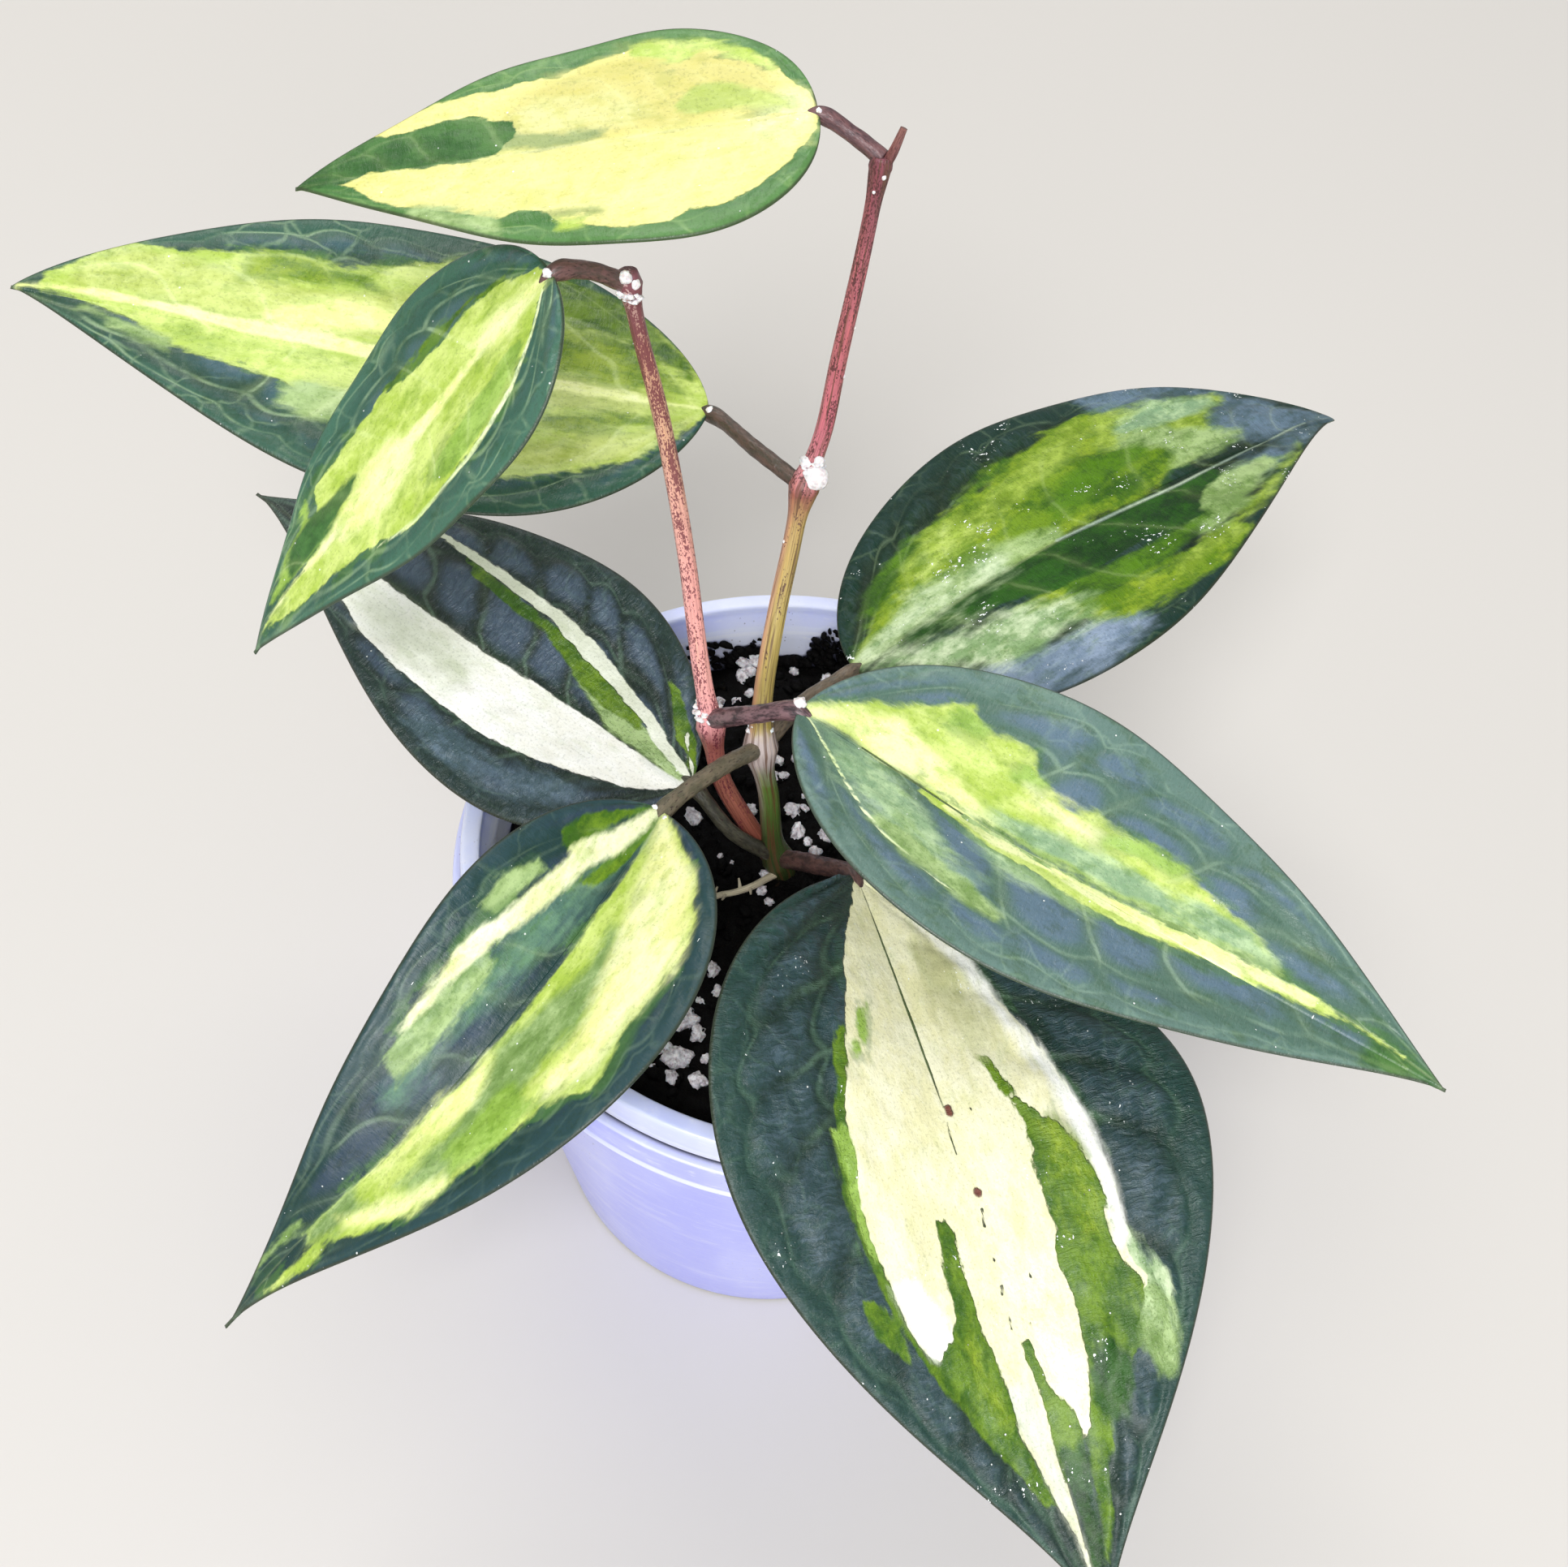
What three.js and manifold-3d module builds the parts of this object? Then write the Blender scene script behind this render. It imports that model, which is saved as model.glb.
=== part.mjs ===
// Potted hoya: a rooted cutting with two stems and eight variegated leaves, growing in soil
// in a plastic liner pot whose lip hangs on the rim of a closed outer pot.
// Millimetres, +Z up. The origin is the middle of the outer pot's underside; the plant faces -Y.
import * as THREE from 'three';
import { mergeVertices } from 'three/addons/utils/BufferGeometryUtils.js';
import Module from 'manifold-3d';

const wasm = await Module();
wasm.setup();

// ---------------------------------------------------------------- driving dimensions

const SEAT_GAP = 0.3; // clearance left where one piece rests in or on another

const OUTER_POT = {
  height: 83, // to the top of the rim
  baseRadius: 37.5,
  shoulderRadius: 54.4, // body radius just under the rim band
  rimRadius: 57.3,
  rimBand: 6, // height of the rim band
  wall: 1.6,
  floor: 2,
  bevel: 0.6,
};

const LINER = {
  lipTop: 90,
  lipRadius: 56,
  mouthRadius: 53, // inner edge of the lip
  lipSkirt: 5.4, // height of the lip's outer face
  bottom: 5,
  bottomRadius: 35.6,
  neckRadius: 52.2, // body radius just under the lip
  wall: 1.2,
  floor: 1.4,
  bevel: 0.5,
  drainHoles: 6,
  drainRadius: 3.5,
  drainCircle: 21,
  drainSides: 14,
};

const SOIL = {
  top: 79, // level at the wall
  crown: 1.6, // how much higher the middle is
  hummocks: [ // gentle waves of the surface: their lengths along X and Y, and their height
    { alongX: 20, alongY: 23, height: 0.5 },
    { alongX: 52, alongY: -11.5, height: 0.3 },
  ],
  rings: 9,
  sides: 36,
};

const PERLITE = {
  count: 34,
  radius: [1.1, 2.4],
  clearOfStems: 12, // the ground round the stems stays bare
  clearOfWall: 5,
  flatness: 0.75,
  showing: 0.15, // how far its middle stands above the soil, as a share of its radius
};

const POT_SIDES = 56;
const STEM_SIDES = 10;
const STALK_SIDES = 8;
const STALK_RINGS = 7;
const TWIG_SIDES = 6;
const LEAF_ROWS = 20; // rows of facets from base to tip
const LEAF_HALF_COLUMNS = 4; // columns of facets on each side of the midrib
const LEAF_THICKNESS = 1.0;
const LEAST_HALF_WIDTH = 0.5; // what is left of a blade at its very base and tip
const KEEL_DEPTH = 0.7; // how far the midrib stands out under the blade
const STALK_ROOT = 4; // how far a stalk runs on under its blade
const STALK_SINK = 0.4; // how far its end lies below the blade's middle surface

// The main stem, from its foot in the soil up to the youngest pair of leaves.
const MAIN_STEM = {
  path: [
    [-2, 1, 56], [-3, 1.5, 70], [-3.5, 2, 79], [-6, 2.5, 86], [-8, 4, 96.5], [-10.5, 5, 107],
    [-11.5, 10.5, 114.5], [-11.5, 17.5, 124], [-11, 23.5, 132.5], [-10.5, 29, 141],
    [-9, 32, 150], [-8.5, 35, 161.5], [-7.5, 38.5, 178.5], [-7, 40, 193.5],
  ],
  rings: 40,
  footRadius: 1.9,
  tipRadius: 1.05,
  nodes: [ // height of each node, its swelling and its reach along the stem
    { z: 82.5, swell: 0.9, reach: 3.2 },
    { z: 107, swell: 1.15, reach: 3.2 },
    { z: 141, swell: 0.9, reach: 2.8 },
    { z: 192, swell: 0.5, reach: 4 },
  ],
};

// The side shoot, which grows out of the main stem's lowest node.
const SIDE_SHOOT = {
  path: [
    [-4.2, 2.2, 80.5], [-6.5, 3, 82.5], [-11, 3.5, 89.5], [-16, 4.5, 98.5], [-19, 6.5, 110],
    [-22, 10.5, 119.5], [-25.5, 15.5, 133], [-29, 19.5, 145.5], [-32.5, 22, 158],
    [-36.5, 23.5, 171], [-38.5, 24, 179.5],
  ],
  rings: 32,
  footRadius: 1.75,
  tipRadius: 1.25,
  nodes: [
    { z: 109, swell: 0.7, reach: 3 },
    { z: 177.5, swell: 0.55, reach: 2.6 },
  ],
};

// The growing tip above the top leaf, and the aerial root that lies over the soil.
const GROWING_TIP = {
  path: [[-7, 40, 191], [-5.8, 39.8, 194], [-4.8, 41, 197.5]],
  radii: [0.9, 0.5],
  rings: 4,
};
const AERIAL_ROOT = {
  path: [
    [-3.6, 1.6, 80.6], [-5.5, -0.5, 81.2], [-8.5, -4.5, 82.8], [-11, -6, 82.6],
    [-13.5, -6.5, 81.6], [-17, -8.5, 79.6],
  ],
  radii: [0.65, 0.45],
  rings: 12,
};

// Each blade starts at `base` and runs along its midrib: `heading` is the compass angle from +X,
// `rise` the angle above level, and `droop` and `sweep` are how far those two turn by the tip.
// `roll` banks the blade about its midrib, and `twist` adds to it towards the tip. Each side has
// its greatest half-width and two exponents that round its base and draw out its tip. `fold` lifts
// both halves into a shallow V, and `arch` bends their margins back down, as a share of the width.
const LEAVES = [
  {
    name: 'leaf_top', base: [-16.5, 42, 197], length: 72.5,
    heading: 197, rise: -9, droop: 9, sweep: -12, roll: -10, twist: -6, fold: 6, arch: 0.04,
    left: { half: 19, round: 0.5, taper: 1.15 }, right: { half: 17.5, round: 0.4, taper: 0.9 },
    stalk: { path: [[-7, 40, 193], [-11.5, 41.5, 195.5]], radii: [1.25, 1.0] },
  },
  {
    name: 'leaf_back_left', base: [-27.5, 43, 140], length: 107.5,
    heading: 186, rise: 4, droop: 1, sweep: -5, roll: -12, twist: -8, fold: 5, arch: 0.06,
    left: { half: 25.5, round: 0.7, taper: 1.3 }, right: { half: 24.5, round: 0.6, taper: 0.85 },
    stalk: { path: [[-10.5, 29, 141], [-18.5, 34, 142]], radii: [1.3, 1.15] },
  },
  {
    name: 'leaf_middle', base: [-47.5, 17, 183], length: 72,
    heading: 217, rise: -47, droop: 6, sweep: 0, roll: 4, twist: -12, fold: 5, arch: 0.06,
    left: { half: 17.5, round: 0.5, taper: 1.25 }, right: { half: 18, round: 0.45, taper: 1.05 },
    stalk: { path: [[-38.4, 24, 177.5], [-43.5, 20.5, 182.5]], radii: [1.35, 1.15] },
  },
  {
    name: 'leaf_left', base: [-20.5, 2, 99], length: 97,
    heading: 158, rise: 7, droop: 15, sweep: -14, roll: -16, twist: -1, fold: 6, arch: 0.04,
    left: { half: 23, round: 0.65, taper: 1.6 }, right: { half: 23.5, round: 0.65, taper: 1.2 },
    stalk: { path: [[-5, 2.2, 83], [-13, -0.5, 91.5]], radii: [1.3, 1.1] },
  },
  {
    name: 'leaf_front_left', base: [-23, -16, 114], length: 103,
    heading: 255.5, rise: -2, droop: 52, sweep: -44, roll: -1, twist: -10, fold: 26, arch: 0.04,
    left: { half: 24, round: 0.8, taper: 1.8 }, right: { half: 19, round: 0.6, taper: 1.4 },
    stalk: { path: [[-10.5, 5, 107], [-16, -4.5, 112]], radii: [1.45, 1.25] },
  },
  {
    name: 'leaf_back_right', base: [2, 22, 110], length: 123,
    heading: 47.5, rise: 9, droop: 25, sweep: 0, roll: -6, twist: 2, fold: 6, arch: 0.06,
    left: { half: 29, round: 0.6, taper: 0.75 }, right: { half: 28, round: 0.5, taper: 1.35 },
    stalk: { path: [[-10.5, 5, 107], [-5.5, 13, 109.5]], radii: [1.45, 1.2] },
  },
  {
    name: 'leaf_right', base: [-5.5, -0.5, 124], length: 108.5,
    heading: -22.5, rise: -10, droop: -4, sweep: 5, roll: 4, twist: 6, fold: 12, arch: 0.02,
    left: { half: 26, round: 0.6, taper: 1.05 }, right: { half: 22, round: 0.65, taper: 1.35 },
    stalk: { path: [[-19, 6.5, 110], [-12, 1.5, 119]], radii: [1.6, 1.3] },
  },
  {
    name: 'leaf_front', base: [7.5, -9, 97], length: 117,
    heading: -66, rise: 4, droop: 36, sweep: 7, roll: -21, twist: 40, fold: 11, arch: 0.02,
    left: { half: 38, round: 1.0, taper: 1.5 }, right: { half: 37.5, round: 0.8, taper: 1.5 },
    stalk: { path: [[-4.5, 2.2, 83], [1, -3, 90]], radii: [1.6, 1.5] },
  },
];

// The gentle rise and fall along each margin; the two margins are out of step by this angle.
const MARGIN_WAVE = { height: 0.5, waves: 2.5, offset: 2 };

const MATERIALS = {
  outerPot: { color: 0xb4b4f0, roughness: 0.35, metalness: 0 },
  liner: { color: 0xbcbcf6, roughness: 0.35, metalness: 0 },
  soil: { color: 0x14100e, roughness: 0.95, metalness: 0 },
  stems: { color: 0xb06a58, roughness: 0.6, metalness: 0 },
  greenLeaf: { color: 0x3f6b52, roughness: 0.4, metalness: 0 },
  creamLeaf: { color: 0xe4ecb0, roughness: 0.4, metalness: 0 },
};

// ---------------------------------------------------------------- solids and joins

const MERGE_DISTANCE = 1e-4;

// A closed three.js geometry as a solid that can be joined and cut.
function toSolid(geometry) {
  const bare = new THREE.BufferGeometry();
  bare.setAttribute('position', geometry.getAttribute('position'));
  bare.setIndex(geometry.getIndex());
  const merged = mergeVertices(bare, MERGE_DISTANCE);
  return new wasm.Manifold(new wasm.Mesh({
    numProp: 3,
    vertProperties: new Float32Array(merged.getAttribute('position').array),
    triVerts: new Uint32Array(merged.getIndex().array),
  }));
}

function toGeometry(solid) {
  const mesh = solid.getMesh();
  const geometry = new THREE.BufferGeometry();
  geometry.setAttribute('position', new THREE.BufferAttribute(mesh.vertProperties, 3));
  geometry.setIndex(new THREE.BufferAttribute(mesh.triVerts, 1));
  geometry.computeVertexNormals();
  return geometry;
}

// A closed solid from a list of coordinates and a list of triangles.
function solidFrom(positions, index) {
  const geometry = new THREE.BufferGeometry();
  geometry.setAttribute('position', new THREE.Float32BufferAttribute(positions, 3));
  geometry.setIndex(index);
  return toSolid(geometry);
}

function makePiece(name, solid, material) {
  const mesh = new THREE.Mesh(toGeometry(solid), new THREE.MeshStandardMaterial(material));
  mesh.name = name;
  return mesh;
}

// A repeatable random number from 0 to 1, by a linear congruence on 32 bits.
function seededRandom(seed) {
  const [factor, step, range] = [1664525, 1013904223, 2 ** 32];
  let state = seed;
  return () => {
    state = (state * factor + step) % range;
    return state / range;
  };
}

const radians = THREE.MathUtils.degToRad;
const vector = ([x, y, z]) => new THREE.Vector3(x, y, z);

// A closed round bar along a smooth path. `radiusAt` gives its radius at a point, and at the
// share of the path behind it.
function bar(points, radiusAt, sides, rings) {
  const curve = new THREE.CatmullRomCurve3(points.map(vector), false, 'centripetal');
  const frames = curve.computeFrenetFrames(rings, false);
  const positions = [];
  const index = [];
  for (let ring = 0; ring <= rings; ring += 1) {
    const share = ring / rings;
    const centre = curve.getPointAt(share);
    const radius = radiusAt(centre, share);
    for (let side = 0; side < sides; side += 1) {
      const angle = (2 * Math.PI * side) / sides;
      const spoke = frames.normals[ring].clone().multiplyScalar(Math.cos(angle) * radius);
      spoke.addScaledVector(frames.binormals[ring], Math.sin(angle) * radius);
      positions.push(...spoke.add(centre).toArray());
    }
  }
  for (let ring = 0; ring < rings; ring += 1) {
    for (let side = 0; side < sides; side += 1) {
      const next = (side + 1) % sides;
      const a = ring * sides + side;
      const b = ring * sides + next;
      index.push(a, b, a + sides, b, b + sides, a + sides);
    }
  }
  const last = rings * sides;
  for (let side = 1; side < sides - 1; side += 1) {
    index.push(0, side + 1, side);
    index.push(last, last + side, last + side + 1);
  }
  return solidFrom(positions, index);
}

function taperedBar(points, [from, to], sides, rings, extra = 0) {
  return bar(points, (_, share) => from + (to - from) * share + extra, sides, rings);
}

// ---------------------------------------------------------------- pots

function revolve(profile) {
  const outline = profile.map(([radius, z]) => new THREE.Vector2(radius, z));
  const lathe = new THREE.LatheGeometry(outline, POT_SIDES);
  lathe.rotateX(Math.PI / 2); // the lathe's own axis is Y
  return toSolid(lathe);
}

function makeOuterPot() {
  const { height, baseRadius, shoulderRadius, rimRadius, rimBand, wall, floor, bevel } = OUTER_POT;
  const bandFoot = height - rimBand;
  const neck = bandFoot - 2 * bevel; // where the body flares into the rim band
  const bore = shoulderRadius - wall;
  return revolve([
    [0, 0], [baseRadius - bevel, 0], [baseRadius, bevel],
    [shoulderRadius, neck], [shoulderRadius + 2 * bevel, bandFoot - bevel], [rimRadius, bandFoot],
    [rimRadius, height - bevel], [rimRadius - bevel, height], [bore + 2 * bevel, height],
    [bore, height - 2 * bevel], [bore, neck],
    [baseRadius - wall, floor], [0, floor],
  ]);
}

const LINER_SEAT = OUTER_POT.height + SEAT_GAP; // underside of the lip, over the outer pot's rim

// Inner radius of the liner's tapered body at a height.
function linerInside(z) {
  const share = (z - LINER.bottom) / (LINER_SEAT - LINER.bottom);
  return LINER.bottomRadius + (LINER.neckRadius - LINER.bottomRadius) * share - LINER.wall;
}

function makeDrainHole(angle) {
  const { drainRadius, drainCircle, drainSides, bottom, floor } = LINER;
  const hole = new THREE.CylinderGeometry(drainRadius, drainRadius, 4 * floor, drainSides);
  hole.rotateX(Math.PI / 2);
  hole.translate(Math.cos(angle) * drainCircle, Math.sin(angle) * drainCircle, bottom);
  return toSolid(hole);
}

function makeLiner() {
  const { lipTop, lipRadius, mouthRadius, lipSkirt, bottom, bottomRadius } = LINER;
  const { neckRadius, wall, floor, bevel } = LINER;
  const skirtInside = lipRadius - wall;
  const skirtFoot = lipTop - lipSkirt;
  const innerFloor = bottom + floor;
  let pot = revolve([
    [0, bottom], [bottomRadius - bevel, bottom], [bottomRadius, bottom + bevel],
    [neckRadius, LINER_SEAT], [skirtInside, LINER_SEAT],
    [skirtInside, skirtFoot], [lipRadius, skirtFoot], [lipRadius, lipTop - bevel],
    [lipRadius - bevel, lipTop], [mouthRadius + bevel, lipTop], [mouthRadius, lipTop - bevel],
    [linerInside(LINER_SEAT), LINER_SEAT], [linerInside(innerFloor), innerFloor], [0, innerFloor],
  ]);
  for (let i = 0; i < LINER.drainHoles; i += 1) {
    pot = pot.subtract(makeDrainHole((2 * Math.PI * i) / LINER.drainHoles));
  }
  return pot;
}

// ---------------------------------------------------------------- plant

function stemRadius(stem, extra) {
  return (centre, share) => {
    const plain = stem.footRadius + (stem.tipRadius - stem.footRadius) * share;
    const swelling = stem.nodes.reduce((sum, node) => {
      const away = (centre.z - node.z) / node.reach;
      return sum + node.swell * Math.exp(-away * away);
    }, 0);
    return plain + swelling + extra;
  };
}

// Both stems, the growing tip and the aerial root: they grew as one piece. `extra` fattens them
// all, to cut the holes and seats that they stand in.
function makeStems(extra = 0) {
  const main = bar(MAIN_STEM.path, stemRadius(MAIN_STEM, extra), STEM_SIDES, MAIN_STEM.rings);
  const side = bar(SIDE_SHOOT.path, stemRadius(SIDE_SHOOT, extra), STEM_SIDES, SIDE_SHOOT.rings);
  const twigs = [GROWING_TIP, AERIAL_ROOT].map(({ path, radii, rings }) => (
    taperedBar(path, radii, TWIG_SIDES, rings, extra)
  ));
  return twigs.reduce((plant, twig) => plant.add(twig), main.add(side));
}

function halfWidth({ half, round, taper }, s) {
  const widest = round / (round + taper);
  return half * (s / widest) ** round * ((1 - s) / (1 - widest)) ** taper;
}

// Directions at share s of the midrib: along it, across to the left margin, and up from the blade.
function bladeFrame(leaf, s) {
  const heading = radians(leaf.heading + leaf.sweep * s);
  const rise = radians(leaf.rise - leaf.droop * s);
  const roll = radians(leaf.roll + leaf.twist * s);
  const along = new THREE.Vector3(
    Math.cos(rise) * Math.cos(heading), Math.cos(rise) * Math.sin(heading), Math.sin(rise),
  );
  const level = new THREE.Vector3(-Math.sin(heading), Math.cos(heading), 0);
  const up = along.clone().cross(level);
  const across = level.clone().multiplyScalar(Math.cos(roll)).addScaledVector(up, Math.sin(roll));
  return { along, across, up: along.clone().cross(across) };
}

// How far a margin rises or falls at share s of the midrib.
function marginWave(s, side) {
  const phase = 2 * Math.PI * MARGIN_WAVE.waves * s + MARGIN_WAVE.offset * side;
  return MARGIN_WAVE.height * Math.sin(phase) * Math.sin(Math.PI * s);
}

// The blade's middle surface as rows of points, from the base to the tip.
function bladeRows(leaf) {
  const fold = radians(leaf.fold);
  const centre = vector(leaf.base);
  const substeps = 6;
  const rows = [];
  let reached = 0;
  for (let row = 0; row <= LEAF_ROWS; row += 1) {
    const s = 0.5 - 0.5 * Math.cos((Math.PI * row) / LEAF_ROWS);
    const step = (s - reached) / substeps;
    for (let k = 0; k < substeps; k += 1) {
      centre.addScaledVector(bladeFrame(leaf, reached + (k + 0.5) * step).along, step * leaf.length);
    }
    reached = s;
    const { across, up } = bladeFrame(leaf, s);
    const points = [];
    for (let column = -LEAF_HALF_COLUMNS; column <= LEAF_HALF_COLUMNS; column += 1) {
      const t = column / LEAF_HALF_COLUMNS;
      const side = t < 0 ? leaf.right : leaf.left;
      const width = Math.max(halfWidth(side, s), LEAST_HALF_WIDTH);
      const bend = (marginWave(s, Math.sign(t)) - leaf.arch * width) * t * t;
      const point = centre.clone().addScaledVector(across, t * width * Math.cos(fold));
      points.push(point.addScaledVector(up, Math.abs(t) * width * Math.sin(fold) + bend));
    }
    rows.push({ points, s });
  }
  return rows;
}

// The blade as a closed plate: the middle surface moved half a thickness to both sides, with
// both faces split into triangles alike, and a keel under the midrib.
function makeBlade(leaf) {
  const rows = bladeRows(leaf);
  const columns = 2 * LEAF_HALF_COLUMNS;
  const faces = { top: [], under: [] };
  const positions = [];
  rows.forEach(({ points, s }, row) => {
    const before = rows[Math.max(row - 1, 0)].points;
    const after = rows[Math.min(row + 1, LEAF_ROWS)].points;
    faces.top.push([]);
    faces.under.push([]);
    points.forEach((point, column) => {
      const along = after[column].clone().sub(before[column]);
      const across = points[Math.min(column + 1, columns)].clone();
      across.sub(points[Math.max(column - 1, 0)]);
      const normal = along.cross(across).normalize();
      const keel = column === LEAF_HALF_COLUMNS ? KEEL_DEPTH * (1 - s) : 0;
      const top = point.clone().addScaledVector(normal, LEAF_THICKNESS / 2);
      const under = point.clone().addScaledVector(normal, -LEAF_THICKNESS / 2 - keel);
      faces.top[row].push(positions.length / 3);
      positions.push(...top.toArray());
      faces.under[row].push(positions.length / 3);
      positions.push(...under.toArray());
    });
  });
  const index = [];
  const quad = (a, b, c, d) => index.push(a, b, c, a, c, d);
  const { top, under } = faces;
  const end = LEAF_ROWS;
  for (let row = 0; row < end; row += 1) {
    for (let column = 0; column < columns; column += 1) {
      quad(top[row][column], top[row + 1][column], top[row + 1][column + 1], top[row][column + 1]);
      const [a, b] = [under[row][column], under[row + 1][column]];
      const [c, d] = [under[row + 1][column + 1], under[row][column + 1]];
      index.push(a, c, b, a, d, c);
    }
    quad(top[row][0], under[row][0], under[row + 1][0], top[row + 1][0]);
    quad(top[row + 1][columns], under[row + 1][columns], under[row][columns], top[row][columns]);
  }
  for (let column = 0; column < columns; column += 1) {
    quad(top[0][column + 1], under[0][column + 1], under[0][column], top[0][column]);
    quad(top[end][column], under[end][column], under[end][column + 1], top[end][column + 1]);
  }
  return solidFrom(positions, index);
}

// A leaf: its blade and its stalk, cut clear of the stem that it grows from.
function makeLeaf(leaf, stemSpace) {
  const { along, up } = bladeFrame(leaf, 0);
  const joint = vector(leaf.base).addScaledVector(up, -STALK_SINK);
  const end = joint.clone().addScaledVector(along, STALK_ROOT);
  const path = [...leaf.stalk.path, joint.toArray(), end.toArray()];
  const stalk = taperedBar(path, leaf.stalk.radii, STALK_SIDES, STALK_RINGS);
  return makeBlade(leaf).add(stalk).subtract(stemSpace);
}

// ---------------------------------------------------------------- soil

function soilLevel(x, y) {
  const share = Math.hypot(x, y) / linerInside(SOIL.top);
  const crown = SOIL.crown * (1 - share * share);
  return SOIL.hummocks.reduce((level, { alongX, alongY, height }) => (
    level + height * Math.sin(2 * Math.PI * (x / alongX + y / alongY))
  ), SOIL.top + crown);
}

function makeSoilBody() {
  const { rings, sides } = SOIL;
  const bottom = LINER.bottom + LINER.floor + SEAT_GAP;
  const edge = linerInside(SOIL.top) - 2 * SEAT_GAP;
  const positions = [0, 0, soilLevel(0, 0)];
  const index = [];
  const addRing = (radius, heightAt) => {
    for (let side = 0; side < sides; side += 1) {
      const angle = (2 * Math.PI * side) / sides;
      const [x, y] = [Math.cos(angle) * radius, Math.sin(angle) * radius];
      positions.push(x, y, heightAt(x, y));
    }
  };
  for (let ring = 1; ring <= rings; ring += 1) {
    addRing((edge * ring) / rings, soilLevel);
  }
  addRing(linerInside(bottom) - SEAT_GAP, () => bottom);
  positions.push(0, 0, bottom);
  const at = (ring, side) => 1 + (ring - 1) * sides + (side % sides);
  const underside = 1 + (rings + 1) * sides;
  for (let side = 0; side < sides; side += 1) {
    index.push(0, at(1, side), at(1, side + 1));
    for (let ring = 1; ring <= rings; ring += 1) {
      index.push(at(ring, side), at(ring + 1, side), at(ring + 1, side + 1));
      index.push(at(ring, side), at(ring + 1, side + 1), at(ring, side + 1));
    }
    index.push(underside, at(rings + 1, side + 1), at(rings + 1, side));
  }
  return solidFrom(positions, index);
}

// Perlite lumps, half sunk in the soil and fused to it, spread evenly over its face.
function perliteLumps() {
  const random = seededRandom(7);
  const [least, most] = PERLITE.radius;
  const [inner, outer] = [PERLITE.clearOfStems, linerInside(SOIL.top) - PERLITE.clearOfWall];
  const goldenAngle = Math.PI * (3 - Math.sqrt(5));
  const lumps = [];
  for (let i = 0; i < PERLITE.count; i += 1) {
    const radius = least + (most - least) * random() ** 2;
    const angle = i * goldenAngle + random();
    const away = Math.sqrt(inner ** 2 + (outer ** 2 - inner ** 2) * ((i + random()) / PERLITE.count));
    const [x, y] = [Math.cos(angle) * away, Math.sin(angle) * away];
    const lump = new THREE.IcosahedronGeometry(radius, 0);
    lump.scale(1, THREE.MathUtils.lerp(PERLITE.flatness, 1, random()), PERLITE.flatness);
    lump.rotateZ(random() * Math.PI);
    lump.translate(x, y, soilLevel(x, y) + PERLITE.showing * radius);
    lumps.push(toSolid(lump));
  }
  return lumps;
}

function makeSoil(stemSpace) {
  const lumped = perliteLumps().reduce((soil, lump) => soil.add(lump), makeSoilBody());
  return lumped.subtract(stemSpace);
}

// ---------------------------------------------------------------- the potted plant

const stemSpace = makeStems(SEAT_GAP);
const creamLeaves = ['leaf_top', 'leaf_front'];

const plant = new THREE.Group();
plant.add(makePiece('outer_pot', makeOuterPot(), MATERIALS.outerPot));
plant.add(makePiece('liner_pot', makeLiner(), MATERIALS.liner));
plant.add(makePiece('soil', makeSoil(stemSpace), MATERIALS.soil));
plant.add(makePiece('stems', makeStems(), MATERIALS.stems));
for (const leaf of LEAVES) {
  const material = creamLeaves.includes(leaf.name) ? MATERIALS.creamLeaf : MATERIALS.greenLeaf;
  plant.add(makePiece(leaf.name, makeLeaf(leaf, stemSpace), material));
}

export default plant;
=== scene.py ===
"""A potted hoya: two nested plastic pots, moist soil, two stems and eight variegated leaves.

Sizes are in millimetres, in the part's frame, and become metres when a mesh is made. The pots,
stems and leaves take the part's own named values on a finer grid. A few are refined by about a
millimetre: the outer pot's rim band is taller and the liner's seat higher, which narrows the slit
under the lip. The side shoot is a little thinner, and two leaf stalks bend a little less.
"""
import math

import bmesh
import bpy
import numpy as np
from mathutils import Matrix, Vector, noise


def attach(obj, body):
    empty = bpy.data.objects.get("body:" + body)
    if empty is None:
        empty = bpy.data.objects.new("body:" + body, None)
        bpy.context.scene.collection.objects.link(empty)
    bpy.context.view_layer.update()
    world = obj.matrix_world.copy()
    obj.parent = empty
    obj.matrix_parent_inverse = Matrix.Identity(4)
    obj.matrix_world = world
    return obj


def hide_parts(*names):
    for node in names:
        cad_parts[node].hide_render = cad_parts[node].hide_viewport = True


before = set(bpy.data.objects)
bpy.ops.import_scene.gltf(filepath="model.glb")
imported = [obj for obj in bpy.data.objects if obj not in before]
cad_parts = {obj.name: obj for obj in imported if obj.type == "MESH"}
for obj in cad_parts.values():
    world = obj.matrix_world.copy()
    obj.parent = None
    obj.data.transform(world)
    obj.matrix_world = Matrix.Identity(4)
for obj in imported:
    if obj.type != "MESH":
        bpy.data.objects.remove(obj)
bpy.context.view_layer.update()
MM = 0.001
TURN = 2 * math.pi

# ------------------------------------------------------------------ driving dimensions

CAMERA = {
    "place": (-3.23, -204.14, 363.82),
    "heading": 0.743, "down": 51.68, "tilt": 9.343,  # degrees
    "focal": 2600, "picture_width": 1932,  # pixels
}
FLOOR_REACH = 3  # metres
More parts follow.
